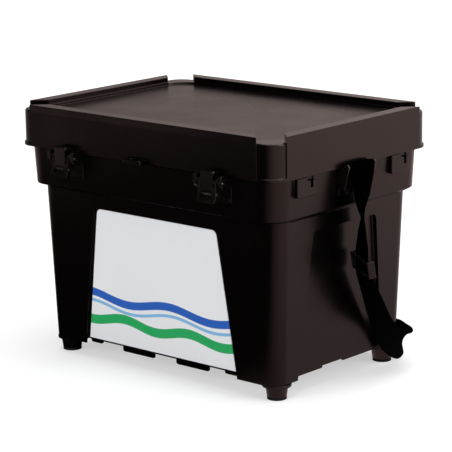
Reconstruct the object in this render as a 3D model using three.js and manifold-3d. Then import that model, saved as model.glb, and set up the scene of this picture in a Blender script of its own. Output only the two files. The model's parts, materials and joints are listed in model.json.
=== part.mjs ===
// A moulded fishing seat box with a hinged seat lid, two draw latches, four feet and a shoulder strap.
// Millimetres, +Z up, the front with the latches faces -Y. The floor is at z = 0.

import * as THREE from "three";
import { mergeVertices } from "three/addons/utils/BufferGeometryUtils.js";
import Module from "manifold-3d";

const wasm = await Module();
wasm.setup();

// Heights, one above the other
const footHeight = 21;
const bodyHeight = 216.7;
const stepRise = 5.7;
const collarHeight = 53.3;
const skirtHeight = 47;
const cornerLipRise = 2.7;
const railRise = 10.5;

// Outside sizes, left to right and front to back
const lidLength = 460;
const lidDepth = 334.4;
const lidTopInset = 0.9;
const lidRadius = 26;
const collarSideSetback = 8.8;
const collarFrontSetback = 10.2;
const collarFlare = 2.5;
const collarRadius = 32;
const shelfSideWidth = 7.2;
const shelfFrontWidth = 17;
const sideTaper = 9;
const frontTaper = 4.8;
const tubRadius = 22;

// Walls and clearances
const wall = 3;
const fit = 0.3;
const overrun = 30;

// Rim of the tub, inside the lid
const rimInset = 2.4;
const ledgeRise = 3;

// Floor of the tub, its posts and the tabs under it
const floorRise = 6;
const postWidth = 45;
const postDepth = 47;
const tabThickness = 3;
const innerTabStart = 20;
const innerTabEnd = 79;
const innerTabDrop = 9.8;
const innerTabSetback = 12;
const outerTabStart = 112;
const outerTabEnd = 134;
const outerTabDrop = 4.3;
const outerTabSetback = 6;
const sideTabStart = 12;
const sideTabEnd = 83;
const sideTabDrop = 3.3;
const sideTabShift = -19;

// Sunk panel on the front and on the back
const panelTopWidth = 224;
const panelBottomWidth = 277;
const panelHeight = 196.7;
const panelTopDepth = 3.2;
const panelBottomDepth = 5.6;

// Sunk panel on each end
const endPanelTopWidth = 132;
const endPanelKneeWidth = 158;
const endPanelKneeHeight = 85.7;
const endPanelBottomWidth = 180;
const endPanelDepth = 6;

// Front label
const labelThickness = 1.2;
const labelSideInset = 3.6;
const labelTopInset = 1;
const labelBottomRise = 8.7;
const labelRadius = 8;

// Accessory sockets on the ends, with a T-shaped keyway
const socketProud = 6.3;
const socketWidth = 38;
const socketHeight = 25;
const socketFromFront = 58;
const socketBevel = 1.6;
const socketTopGap = 1;
const keyShift = 10.5;
const keyDepth = 7;
const keyBarWidth = 17.8;
const keyBarHeight = 5;
const keyStemWidth = 4.8;
const keyStemHeight = 9.2;

// Lid: skirt bead, seat panel, rails and ribs
const beadHeight = 4.5;
const beadStep = 0.6;
const lipRound = 3;
const lipWidth = 18.5;
const seatRadius = 38;
const railWidth = 19;
const railBevel = 0.9;
const railLedge = 2;
const ribThickness = 2.5;
const ribDepth = 7.5;
const ribSideInset = 25;
const ribFrontInset = 33.2;
const ribCountX = 5;
const ribCountY = 3;

// Eye tab on the lid's front
const eyeTabX = -3;
const eyeTabWidth = 32;
const eyeTabReach = 12;
const eyeTabHeight = 6.5;
const eyeTabRadius = 4;
const eyeLength = 14;
const eyeWidth = 7.6;

// Draw latches
const latchX = 132;
const latchPinReach = 9.8;
const latchPinDrop = 5.2;
const latchPinRadius = 1.5;
const latchPinEndInset = 0.4;
const clawPinReach = 3;
const clawPinDrop = 15.2;
const baseWidth = 48;
const baseHeight = 34;
const baseThickness = 3;
const baseTopGap = 1;
const cheekThickness = 5.5;
const cheekHeight = 12;
const cheekRise = 4;
const cheekReach = 4;
const cheekBevel = 3;
const armThickness = 3.5;
const armOuterHalf = 15.5;
const armHeadRadius = 4.2;
const armFrontReach = 5;
const armBackReach = 4.5;
const leverBarDrop = 25.8;
const leverBarHeight = 5;
const leverBarDepth = 6;
const leverBarReach = 9.5;
const clawPlateHalf = 9.8;
const clawPlateThickness = 3.2;
const clawPlateRise = 3.9;
const clawEarWidth = 3.5;
const clawEarHalf = 11.5;
const clawEarRadius = 3;
const hookHalf = 12;
const hookThickness = 4.6;
const hookReach = 2;
const lugHalf = 11;
const lugHeight = 4;
const lugReach = 9.3;
const lugSlope = 1;
const latchScrewX = 19.5;
const latchScrewRise = 5;

// Rear hinges
const hingeX = 130;
const hingePinReach = 5.5;
const hingePinDrop = 4.5;
const hingePinRadius = 2;
const knuckleRadius = 4.5;
const leafWidth = 46;
const leafThickness = 3;
const tubLeafHeight = 27;
const lidLeafHeight = 28;
const lidKnuckleHalf = 8.5;
const knuckleGap = 0.5;
const leafArmDrop = 4;
const hingeScrewX = 15;
const tubLeafScrewRise = 8;
const lidLeafScrewRise = 18;

// Screws of the fittings
const screwRadius = 1.5;
const screwHeadRadius = 3.2;
const screwHeadHeight = 2;
const screwLength = 9;

// Feet
const footSideInset = 17;
const footFrontInset = 22.2;
const footFlangeRadius = 19.5;
const footFlangeHeight = 4;
const footCupTopRadius = 15;
const footCupBottomRadius = 13;
const footPadHeight = 3.3;
const footPadBevel = 0.6;
const footScrewRadius = 2;
const footScrewHeadRadius = 4;
const footScrewHeadHeight = 2.3;
const footScrewDepth = 7.5;
const footScrewPocket = 4.3;

// Strap brackets
const strapWidth = 50;
const strapThickness = 1.8;
const bracketSideGap = 1;
const bracketCheek = 3.5;
const bracketPlate = 3;
const bracketBarReach = 7.5;
const bracketBarRise = 1;
const bracketBarRadius = 3;
const bracketHeadRadius = 4.2;
const bracketHeight = 28;
const bracketTopGap = 1.4;
const bracketTongue = 8;
const bracketFootSetback = 3.5;
const bracketScrewY = 14;
const bracketScrewRise = 4;

// Slider on the strap
const sliderRail = 3.5;
const sliderSideGap = 1.2;
const sliderLength = 23;
const sliderBar = 4.5;
const sliderThickness = 2.8;
const sliderClearance = 1.2;

// Facets of the round shapes
const cornerSteps = 6;
const roundSides = 16;
const screwSides = 12;
const footSides = 24;
const mergeGap = 1e-4;

// Sizes, levels and places worked out from the sizes above
const collarLength = lidLength - 2 * collarSideSetback;
const collarDepth = lidDepth - 2 * collarFrontSetback;
const tubTopLength = collarLength - 2 * shelfSideWidth;
const tubTopDepth = collarDepth - 2 * shelfFrontWidth;
const tubBottomLength = tubTopLength - 2 * sideTaper;
const tubBottomDepth = tubTopDepth - 2 * frontTaper;
const tubZ = footHeight + fit;
const stepZ = tubZ + bodyHeight;
const collarZ = stepZ + stepRise;
const skirtZ = collarZ + collarHeight;
const seatZ = skirtZ + skirtHeight;
const lipZ = seatZ + cornerLipRise;
const railZ = seatZ + railRise;
const floorZ = tubZ + floorRise;
const floorTopZ = floorZ + wall;
const lidUnderZ = seatZ - wall;
const rimZ = lidUnderZ - fit;
const panelTopZ = tubZ + panelHeight;
const latchPinY = -(lidDepth / 2 + latchPinReach);
const latchPinZ = skirtZ - latchPinDrop;
const clawPinY = latchPinY - clawPinReach;
const clawPinZ = latchPinZ - clawPinDrop;
const hingePinY = lidDepth / 2 + hingePinReach;
const hingePinZ = skirtZ - hingePinDrop;
const frontReach = leverBarReach - latchPinY;
const backReach = hingePinY + knuckleRadius;
const centreShift = (frontReach - backReach) / 2;

// Route of the strap's middle line with the direction of its width, from the right bracket to behind the box
const strapRoute = [
  [233.3, 0, 284, 0, 1, 0],
  [233.3, 0, 298, 0, 1, 0],
  [235.4, 0, 301.6, 0, 1, 0],
  [239.6, 0, 301.6, 0, 1, 0],
  [241.7, 0, 298, 0, 1, 0],
  [242, 0, 283, -0.05, 1, 0],
  [241.5, 1, 252, -0.3, 0.95, 0],
  [240.5, 3, 222, -0.68, 0.73, 0],
  [238, 5, 196, -0.8, 0.6, 0],
  [237, 5, 174, -0.84, 0.54, 0],
  [237.5, 9, 153, -0.88, 0.47, 0],
  [236, 27, 120, -0.93, 0.36, -0.05],
  [232, 53, 80, -0.95, 0.28, -0.15],
  [228, 87, 46, -0.75, 0.25, -0.6],
  [212.5, 126, 27, -0.45, 0.25, -0.85],
  [192, 150.5, 26, -0.18, 0.3, -0.93],
  [158, 163, 25, -0.05, 0.3, -0.95],
  [118, 171, 20, 0, 0.6, -0.8],
  [66, 177, 6, 0, 0.97, -0.2],
  [0, 179, 1.7, 0, 1, 0],
];
const strapStepsPerPoint = 2;
const strapEdgeShare = 0.55;
const routeCountToSlider = 9;

// Half sizes of the tub, the collar and the lid at a height
function tubHalf(z) {
  const rise = (z - tubZ) / bodyHeight;
  return {
    x: (tubBottomLength + (tubTopLength - tubBottomLength) * rise) / 2,
    y: (tubBottomDepth + (tubTopDepth - tubBottomDepth) * rise) / 2,
  };
}

function collarHalf(z) {
  const flare = (collarFlare * (z - collarZ)) / collarHeight;
  return { x: collarLength / 2 + flare, y: collarDepth / 2 + flare };
}

function inset(half, amount) {
  return { x: half.x - amount, y: half.y - amount };
}

// Solids
function solid(geometry) {
  const loose = geometry.index ? geometry.toNonIndexed() : geometry.clone();
  const bare = new THREE.BufferGeometry();
  bare.setAttribute("position", loose.getAttribute("position"));
  const merged = mergeVertices(bare, mergeGap);
  return new wasm.Manifold(
    new wasm.Mesh({
      numProp: 3,
      vertProperties: merged.attributes.position.array,
      triVerts: new Uint32Array(merged.index.array),
    }),
  );
}

function join(...solids) {
  return solids.reduce((all, next) => all.add(next));
}

function cut(base, ...cutters) {
  return cutters.reduce((left, cutter) => left.subtract(cutter), base);
}

function block([x0, x1], [y0, y1], [z0, z1]) {
  const size = [x1 - x0, y1 - y0, z1 - z0].map(Math.abs);
  const box = new THREE.BoxGeometry(...size);
  return solid(box.translate((x0 + x1) / 2, (y0 + y1) / 2, (z0 + z1) / 2));
}

function extruded(outline, length, basis, start) {
  const shape = new THREE.Shape(outline.map(([u, v]) => new THREE.Vector2(u, v)));
  const geometry = new THREE.ExtrudeGeometry(shape, { depth: length, bevelEnabled: false });
  const place = new THREE.Matrix4().makeBasis(...basis).setPosition(start);
  return solid(geometry.applyMatrix4(place));
}

const alongX = new THREE.Vector3(1, 0, 0);
const alongY = new THREE.Vector3(0, 1, 0);
const alongZ = new THREE.Vector3(0, 0, 1);

function prismX(outlineYZ, x0, x1) {
  return extruded(outlineYZ, x1 - x0, [alongY, alongZ, alongX], new THREE.Vector3(x0, 0, 0));
}

function prismY(outlineXZ, y0, y1) {
  const back = alongY.clone().negate();
  return extruded(outlineXZ, y1 - y0, [alongX, alongZ, back], new THREE.Vector3(0, y1, 0));
}

function prismZ(outlineXY, z0, z1) {
  return extruded(outlineXY, z1 - z0, [alongX, alongY, alongZ], new THREE.Vector3(0, 0, z0));
}

// A round bar between two points
function rod(radius, from, to, sides = roundSides) {
  const start = new THREE.Vector3(...from);
  const reach = new THREE.Vector3(...to).sub(start);
  const turn = new THREE.Quaternion().setFromUnitVectors(alongY, reach.clone().normalize());
  const geometry = new THREE.CylinderGeometry(radius, radius, reach.length(), sides);
  geometry.translate(0, reach.length() / 2, 0).applyQuaternion(turn);
  return solid(geometry.translate(start.x, start.y, start.z));
}

function arc(centreU, centreV, radius, fromTurn, toTurn, steps = cornerSteps) {
  return Array.from({ length: steps + 1 }, (_, step) => {
    const angle = 2 * Math.PI * (fromTurn + ((toTurn - fromTurn) * step) / steps);
    return [centreU + radius * Math.cos(angle), centreV + radius * Math.sin(angle)];
  });
}

// Closed skin through rings that all have the same number of points, counter-clockwise seen from the end
function skin(rings, otherDiagonalsFrom = rings[0].length) {
  const count = rings[0].length;
  const points = rings.flat();
  const faces = [];
  rings.slice(1).forEach((_, level) => {
    for (let i = 0; i < count; i += 1) {
      const a = level * count + i;
      const b = level * count + ((i + 1) % count);
      const [from, to] = i < otherDiagonalsFrom ? [a, b + count] : [b, a + count];
      faces.push(a, b, to, b + count, a + count, from);
    }
  });
  [rings[0], rings.at(-1)].forEach((ring, end) => {
    const centre = points.length;
    const first = end * (rings.length - 1) * count;
    points.push([0, 1, 2].map((axis) => ring.reduce((sum, p) => sum + p[axis], 0) / count));
    for (let i = 0; i < count; i += 1) {
      const a = first + i;
      const b = first + ((i + 1) % count);
      faces.push(...(end ? [centre, a, b] : [centre, b, a]));
    }
  });
  const geometry = new THREE.BufferGeometry();
  geometry.setAttribute("position", new THREE.Float32BufferAttribute(points.flat(), 3));
  geometry.setIndex(faces);
  return geometry;
}

function roundedRing({ z, half, radius }) {
  const { x, y } = inset(half, radius);
  const corners = [
    [x, y],
    [-x, y],
    [-x, -y],
    [x, -y],
  ];
  return corners.flatMap(([cx, cy], quarter) =>
    arc(cx, cy, radius, quarter / 4, (quarter + 1) / 4).map(([u, v]) => [u, v, z]),
  );
}

function roundedLoft(levels) {
  return solid(skin(levels.map(roundedRing)));
}

// Finishes
function finish(color, roughness, metalness = 0) {
  return new THREE.MeshStandardMaterial({ color, roughness, metalness });
}

const blackPlastic = finish(0x241e1c, 0.5);
const fittingPlastic = finish(0x1f1b1a, 0.4);
const labelWhite = finish(0xdddfe2, 0.35);
const padRubber = finish(0x121212, 0.9);
const pinSteel = finish(0xb4b6b8, 0.3, 0.9);
const screwSteel = finish(0x5c5d5f, 0.35, 0.9);
const strapWebbing = finish(0x0a0a0b, 0.85);
const sliderPlastic = finish(0x161617, 0.35);

function piece(name, body, material) {
  const { vertProperties, triVerts } = body.getMesh();
  const geometry = new THREE.BufferGeometry();
  geometry.setAttribute("position", new THREE.BufferAttribute(vertProperties, 3));
  geometry.setIndex(new THREE.BufferAttribute(triVerts, 1));
  geometry.computeVertexNormals();
  const mesh = new THREE.Mesh(geometry, material);
  mesh.name = name;
  return mesh;
}

// Places of the screws, each with the point under its head and the way that its head faces
function latchScrews(x) {
  const z = skirtZ - baseTopGap - baseHeight + latchScrewRise;
  const y = -(collarHalf(z).y + fit + baseThickness + fit);
  return [-latchScrewX, latchScrewX].map((offset) => ({ at: [x + offset, y, z], out: [0, -1, 0] }));
}

function tubLeafScrews(x) {
  const z = hingePinZ - tubLeafHeight + tubLeafScrewRise;
  const y = collarHalf(z).y + fit + leafThickness + fit;
  return [-hingeScrewX, hingeScrewX].map((offset) => ({ at: [x + offset, y, z], out: [0, 1, 0] }));
}

function lidLeafScrews(x) {
  const z = skirtZ + lidLeafScrewRise;
  const y = lidDepth / 2 + fit + leafThickness + fit;
  return [-hingeScrewX, hingeScrewX].map((offset) => ({ at: [x + offset, y, z], out: [0, 1, 0] }));
}

function bracketScrews(side) {
  const z = skirtZ - bracketTopGap - bracketHeight - bracketTongue + bracketScrewRise;
  const x = side * (collarHalf(z).x + fit + bracketPlate + fit);
  return [-bracketScrewY, bracketScrewY].map((y) => ({ at: [x, y, z], out: [side, 0, 0] }));
}

function screwLine({ at, out }, radius, inner, outer) {
  const end = (reach) => at.map((value, axis) => value + out[axis] * reach);
  return rod(radius, end(-inner), end(outer), screwSides);
}

function screwSolid(place) {
  const shank = screwLine(place, screwRadius, screwLength, screwHeadHeight / 2);
  const head = screwLine(place, screwHeadRadius, 0, screwHeadHeight);
  return join(shank, head);
}

function screwHole(place) {
  return screwLine(place, screwRadius + fit, overrun, overrun / 2);
}

// Tub
function sunkPanel(side, grow) {
  const low = tubZ - overrun;
  const high = panelTopZ + grow;
  const spread = (panelBottomWidth - panelTopWidth) / 2 / panelHeight;
  const halfAt = (z) => panelTopWidth / 2 + spread * (panelTopZ - z) + grow;
  const faceAt = (z) => {
    const depth = panelTopDepth + ((panelBottomDepth - panelTopDepth) * (panelTopZ - z)) / panelHeight;
    return side * (tubHalf(z).y - depth - grow);
  };
  const far = side * (tubTopDepth / 2 + overrun);
  const outline = [
    [-halfAt(low), low],
    [halfAt(low), low],
    [halfAt(high), high],
    [-halfAt(high), high],
  ];
  const slab = [
    [faceAt(low), low],
    [faceAt(high), high],
    [far, high],
    [far, low],
  ];
  const across = prismY(outline, Math.min(0, far), Math.max(0, far));
  return across.intersect(prismX(slab, -lidLength / 2, lidLength / 2));
}

function sunkEndPanel(side, grow) {
  const low = tubZ - overrun;
  const knee = tubZ + endPanelKneeHeight;
  const high = panelTopZ + grow;
  const bottomHalf = endPanelBottomWidth / 2 + grow;
  const kneeHalf = endPanelKneeWidth / 2 + grow;
  const topHalf = endPanelTopWidth / 2 + grow;
  const outline = [
    [-bottomHalf, low],
    [bottomHalf, low],
    [bottomHalf, tubZ],
    [kneeHalf, knee],
    [topHalf, high],
    [-topHalf, high],
    [-kneeHalf, knee],
    [-bottomHalf, tubZ],
  ];
  const faceAt = (z) => side * (tubHalf(z).x - endPanelDepth - grow);
  const far = side * (tubTopLength / 2 + overrun);
  const slab = [
    [faceAt(low), low],
    [faceAt(high), high],
    [far, high],
    [far, low],
  ];
  const along = prismX(outline, Math.min(0, far), Math.max(0, far));
  return along.intersect(prismY(slab, -lidDepth / 2, lidDepth / 2));
}

function tubOutside() {
  const rim = inset(collarHalf(skirtZ), rimInset);
  return roundedLoft([
    { z: tubZ, half: tubHalf(tubZ), radius: tubRadius },
    { z: stepZ, half: tubHalf(stepZ), radius: tubRadius },
    { z: collarZ, half: collarHalf(collarZ), radius: collarRadius },
    { z: skirtZ, half: collarHalf(skirtZ), radius: collarRadius },
    { z: skirtZ + ledgeRise, half: rim, radius: collarRadius - rimInset },
    { z: rimZ, half: rim, radius: collarRadius - rimInset },
  ]);
}

function tubInside() {
  const rim = inset(collarHalf(skirtZ), rimInset + wall);
  const rimRadius = collarRadius - rimInset - wall;
  return roundedLoft([
    { z: floorTopZ, half: inset(tubHalf(floorTopZ), wall), radius: tubRadius - wall },
    { z: stepZ + wall, half: inset(tubHalf(stepZ), wall), radius: tubRadius - wall },
    { z: collarZ + wall, half: inset(collarHalf(collarZ), wall), radius: collarRadius - wall },
    { z: rimZ, half: rim, radius: rimRadius },
    { z: rimZ + overrun, half: rim, radius: rimRadius },
  ]);
}

function undersideHollow() {
  const { x, y } = inset(tubHalf(tubZ), wall);
  const heights = [tubZ - overrun, floorZ];
  const postX = tubBottomLength / 2 - postWidth;
  const postY = tubBottomDepth / 2 - postDepth;
  return join(block([-postX, postX], [-y, y], heights), block([-x, x], [-postY, postY], heights));
}

function undersideTabs() {
  const top = floorTopZ - wall / 2;
  const half = tubHalf(tubZ);
  const tabs = [];
  [-1, 1].forEach((side) => {
    [-1, 1].forEach((end) => {
      const innerY = side * (half.y - innerTabSetback);
      const outerY = side * (half.y - outerTabSetback);
      const innerX = [end * innerTabStart, end * innerTabEnd];
      const outerX = [end * outerTabStart, end * outerTabEnd];
      tabs.push(block(innerX, [innerY, innerY - side * tabThickness], [floorZ - innerTabDrop, top]));
      tabs.push(block(outerX, [outerY, outerY - side * tabThickness], [floorZ - outerTabDrop, top]));
    });
    const x = side * (half.x - endPanelDepth - fit);
    const tabX = [x, x - side * tabThickness];
    const tabZ = [floorZ - sideTabDrop, top];
    tabs.push(block(tabX, [sideTabStart, sideTabEnd], tabZ));
    tabs.push(block(tabX, [-sideTabEnd, sideTabShift - sideTabStart], tabZ));
  });
  return join(...tabs);
}

function socketPlaces() {
  const reach = collarDepth / 2 - socketFromFront;
  return [-1, 1].flatMap((side) => [-1, 1].map((end) => ({ side, y: end * reach })));
}

const socketFace = collarLength / 2 + collarFlare / 2 + socketProud;
const socketTopZ = skirtZ - socketTopGap;

function socket({ side, y }) {
  const inside = collarLength / 2 - wall / 2;
  const low = socketTopZ - socketHeight;
  const outline = [
    [side * inside, low],
    [side * (socketFace - socketBevel), low],
    [side * socketFace, low + socketBevel],
    [side * socketFace, socketTopZ],
    [side * inside, socketTopZ],
  ];
  return prismY(outline, y - socketWidth / 2, y + socketWidth / 2);
}

function keyway({ side, y }) {
  const centre = y + keyShift;
  const depth = [side * (socketFace - keyDepth), side * (socketFace + overrun)];
  const barZ = socketTopZ - keyBarHeight;
  const top = [barZ, socketTopZ + socketTopGap / 2];
  const bar = block(depth, [centre - keyBarWidth / 2, centre + keyBarWidth / 2], top);
  const stemHeights = [barZ - keyStemHeight, barZ + socketTopGap];
  const stem = block(depth, [centre - keyStemWidth / 2, centre + keyStemWidth / 2], stemHeights);
  return join(bar, stem);
}

const footX = tubBottomLength / 2 - footSideInset;
const footY = tubBottomDepth / 2 - footFrontInset;
const footPlaces = [
  ["front_left", -footX, -footY],
  ["front_right", footX, -footY],
  ["back_left", -footX, footY],
  ["back_right", footX, footY],
];
const footScrewTop = tubZ + footScrewDepth;

function tub() {
  const panels = [-1, 1].map((side) => sunkPanel(side, 0));
  const endPanels = [-1, 1].map((side) => sunkEndPanel(side, 0));
  const cavity = cut(
    tubInside(),
    ...[-1, 1].map((side) => sunkPanel(side, wall)),
    ...[-1, 1].map((side) => sunkEndPanel(side, wall)),
  );
  const shell = cut(tubOutside(), undersideHollow(), ...panels, ...endPanels, cavity);
  const sockets = socketPlaces();
  const screws = [-1, 1].flatMap((side) => [
    ...latchScrews(side * latchX),
    ...tubLeafScrews(side * hingeX),
    ...bracketScrews(side),
  ]);
  const footHoles = footPlaces.map(([, x, y]) =>
    rod(footScrewRadius + fit, [x, y, tubZ - overrun], [x, y, footScrewTop + fit]),
  );
  return cut(
    join(shell, undersideTabs(), ...sockets.map(socket)),
    ...sockets.map(keyway),
    ...screws.map(screwHole),
    ...footHoles,
  );
}

// White plate in the front's sunk panel
function label() {
  const low = tubZ + labelBottomRise;
  const high = panelTopZ - labelTopInset;
  const spread = (panelBottomWidth - panelTopWidth) / 2 / panelHeight;
  const halfAt = (z) => panelTopWidth / 2 + spread * (panelTopZ - z) - labelSideInset;
  const faceAt = (z) => {
    const depth = panelTopDepth + ((panelBottomDepth - panelTopDepth) * (panelTopZ - z)) / panelHeight;
    return -(tubHalf(z).y - depth + fit);
  };
  const right = arc(halfAt(high) - labelRadius, high - labelRadius, labelRadius, 0, 1 / 4);
  const left = right.map(([x, z]) => [-x, z]).reverse();
  const outline = [[-halfAt(low), low], [halfAt(low), low], ...right, ...left];
  const slab = [
    [faceAt(low), low],
    [faceAt(high), high],
    [faceAt(high) - labelThickness, high],
    [faceAt(low) - labelThickness, low],
  ];
  const across = prismY(outline, -lidDepth / 2, 0);
  return across.intersect(prismX(slab, -lidLength / 2, lidLength / 2));
}

// Lid
function lidOutside() {
  const bottom = { x: lidLength / 2, y: lidDepth / 2 };
  const above = inset(bottom, beadStep);
  const top = inset(bottom, lidTopInset);
  const edge = arc(0, 0, lipRound, 0, 1 / 4, cornerSteps / 2).map(([out, up]) => ({
    z: lipZ - lipRound + up,
    half: inset(top, lipRound - out),
    radius: lidRadius - lidTopInset - lipRound + out,
  }));
  return roundedLoft([
    { z: skirtZ, half: bottom, radius: lidRadius },
    { z: skirtZ + beadHeight, half: bottom, radius: lidRadius },
    { z: skirtZ + beadHeight + beadStep, half: above, radius: lidRadius - beadStep },
    ...edge,
  ]);
}

function lidInside() {
  const bottom = { x: lidLength / 2, y: lidDepth / 2 };
  const radius = lidRadius - wall;
  return roundedLoft([
    { z: skirtZ - overrun, half: inset(bottom, wall), radius },
    { z: skirtZ, half: inset(bottom, wall), radius },
    { z: lidUnderZ, half: inset(bottom, wall + lidTopInset), radius: radius - lidTopInset },
  ]);
}

function seatPocket() {
  const half = inset({ x: lidLength / 2, y: lidDepth / 2 }, lidTopInset + lipWidth);
  return roundedLoft([
    { z: seatZ, half, radius: seatRadius },
    { z: railZ + overrun, half, radius: seatRadius },
  ]);
}

// Section of a rail, from the lid's outer face inwards
function railSection(outer) {
  const inner = outer - railWidth;
  const ledgeZ = lipZ + railBevel;
  return [
    [outer, lidUnderZ + wall / 2],
    [outer, railZ - railBevel],
    [outer - railBevel, railZ],
    [inner + railBevel, railZ],
    [inner, railZ - railBevel],
    [inner, ledgeZ],
    [inner - railLedge, ledgeZ],
    [inner - railLedge, lidUnderZ + wall / 2],
  ];
}

// Outline of a rail from above: its ends follow the diagonals of the lid's corners
function railSpan(reach, outer) {
  const depth = railWidth + 2 * railLedge;
  return [
    [-reach - overrun, outer + overrun],
    [reach + overrun, outer + overrun],
    [reach - depth, outer - depth],
    [depth - reach, outer - depth],
  ];
}

function rails() {
  const half = inset({ x: lidLength / 2, y: lidDepth / 2 }, lidTopInset);
  const reach = inset(half, lidRadius);
  const mirrored = (outline) => outline.map(([u, v]) => [-u, v]);
  const long = railSection(half.y);
  const short = railSection(half.x);
  const longSpan = railSpan(reach.x, half.y);
  const shortSpan = railSpan(reach.y, half.x).map(([u, v]) => [v, u]);
  const trimmed = (bar, span) => bar.intersect(prismZ(span, lidUnderZ, railZ + overrun));
  return [
    trimmed(prismX(long, -reach.x, reach.x), longSpan),
    trimmed(prismX(mirrored(long), -reach.x, reach.x), longSpan.map(([u, v]) => [u, -v])),
    trimmed(prismY(short, -reach.y, reach.y), shortSpan),
    trimmed(prismY(mirrored(short), -reach.y, reach.y), mirrored(shortSpan)),
  ];
}

function ribs() {
  const heights = [lidUnderZ - ribDepth, seatZ - wall / 2];
  const reachX = lidLength / 2 - ribSideInset;
  const reachY = lidDepth / 2 - ribFrontInset;
  const spread = (count, reach) =>
    Array.from({ length: count }, (_, i) => reach * ((2 * (i + 1)) / (count + 1) - 1));
  const across = spread(ribCountX, reachX).map((x) =>
    block([x - ribThickness / 2, x + ribThickness / 2], [-reachY, reachY], heights),
  );
  const along = spread(ribCountY, reachY).map((y) =>
    block([-reachX, reachX], [y - ribThickness / 2, y + ribThickness / 2], heights),
  );
  return [...across, ...along];
}

function catchLug(x) {
  const root = -lidDepth / 2 + wall / 2;
  const front = -(lidDepth / 2 + lugReach);
  const outline = [
    [root, skirtZ],
    [front, skirtZ],
    [front, skirtZ + lugHeight - lugSlope],
    [root, skirtZ + lugHeight],
  ];
  return prismX(outline, x - lugHalf, x + lugHalf);
}

function eyeTab() {
  const root = -lidDepth / 2 + wall / 2;
  const front = -(lidDepth / 2 + eyeTabReach);
  const half = eyeTabWidth / 2 - eyeTabRadius;
  const corner = front + eyeTabRadius;
  const outline = [
    [eyeTabX - eyeTabWidth / 2, root],
    ...arc(eyeTabX - half, corner, eyeTabRadius, 1 / 2, 3 / 4),
    ...arc(eyeTabX + half, corner, eyeTabRadius, 3 / 4, 1),
    [eyeTabX + eyeTabWidth / 2, root],
  ];
  return prismZ(outline, skirtZ, skirtZ + eyeTabHeight);
}

function eye() {
  const y = -(lidDepth / 2 + eyeTabReach / 2);
  const radius = eyeWidth / 2;
  const half = eyeLength / 2 - radius;
  const outline = [
    ...arc(eyeTabX + half, y, radius, -1 / 4, 1 / 4),
    ...arc(eyeTabX - half, y, radius, 1 / 4, 3 / 4),
  ];
  return prismZ(outline, skirtZ - overrun, skirtZ + eyeTabHeight + overrun);
}

function lid() {
  const crown = join(cut(lidOutside(), seatPocket()), ...rails());
  const shell = cut(crown, lidInside());
  const lugs = [-latchX, latchX].map(catchLug);
  const holes = [-hingeX, hingeX].flatMap(lidLeafScrews).map(screwHole);
  return cut(join(shell, ...ribs(), ...lugs, eyeTab()), eye(), ...holes);
}

// Draw latch, built at the middle of the front and placed by its group
function latchBase() {
  const high = skirtZ - baseTopGap;
  const low = high - baseHeight;
  const backAt = (z) => -(collarHalf(z).y + fit);
  const plate = prismX(
    [
      [backAt(low), low],
      [backAt(high), high],
      [backAt(high) - baseThickness, high],
      [backAt(low) - baseThickness, low],
    ],
    -baseWidth / 2,
    baseWidth / 2,
  );
  const cheekLow = high - cheekHeight;
  const front = latchPinY - cheekReach;
  const skirtFront = -(lidDepth / 2 + baseTopGap);
  const cheekOutline = [
    [backAt(high) - baseThickness / 2, cheekLow],
    [front + cheekBevel, cheekLow],
    [front, cheekLow + cheekBevel],
    [front, skirtZ + cheekRise - cheekBevel / 2],
    [front + cheekBevel / 2, skirtZ + cheekRise],
    [skirtFront, skirtZ + cheekRise],
    [skirtFront, high],
    [backAt(high) - baseThickness / 2, high],
  ];
  const outer = baseWidth / 2;
  const inner = outer - cheekThickness;
  const pinHole = rod(
    latchPinRadius + fit,
    [-overrun, latchPinY, latchPinZ],
    [overrun, latchPinY, latchPinZ],
  );
  const base = join(plate, prismX(cheekOutline, inner, outer), prismX(cheekOutline, -outer, -inner));
  return cut(base, pinHole, ...latchScrews(0).map(screwHole));
}

function latchPin() {
  const half = baseWidth / 2 - latchPinEndInset;
  return rod(latchPinRadius, [-half, latchPinY, latchPinZ], [half, latchPinY, latchPinZ]);
}

const leverBottomZ = latchPinZ - leverBarDrop;
const leverFrontY = latchPinY - leverBarReach;

function latchLever() {
  const barTopZ = leverBottomZ + leverBarHeight;
  const arm = [
    ...arc(latchPinY, latchPinZ, armHeadRadius, 0, 1 / 2),
    [latchPinY - armFrontReach, clawPinZ + clawEarRadius],
    [latchPinY - armFrontReach - clawPinReach / 2, barTopZ],
    [leverFrontY, leverBottomZ],
    [leverFrontY + leverBarDepth, leverBottomZ],
    [latchPinY + armBackReach - clawPinReach, clawPinZ - clawEarRadius],
    [latchPinY + armBackReach, clawPinZ + clawEarRadius],
  ];
  const bar = [
    [leverFrontY, leverBottomZ],
    [leverFrontY + leverBarDepth, leverBottomZ],
    [leverFrontY + leverBarDepth, barTopZ],
    [leverFrontY + clawPinReach, barTopZ],
  ];
  const inner = armOuterHalf - armThickness;
  const holes = [
    [latchPinY, latchPinZ],
    [clawPinY, clawPinZ],
  ].map(([y, z]) => rod(latchPinRadius + fit, [-overrun, y, z], [overrun, y, z]));
  const arms = join(prismX(arm, inner, armOuterHalf), prismX(arm, -armOuterHalf, -inner));
  return cut(join(arms, prismX(bar, -armOuterHalf, armOuterHalf)), ...holes);
}

function clawPin() {
  const half = armOuterHalf - latchPinEndInset;
  return rod(latchPinRadius, [-half, clawPinY, clawPinZ], [half, clawPinY, clawPinZ]);
}

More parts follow.
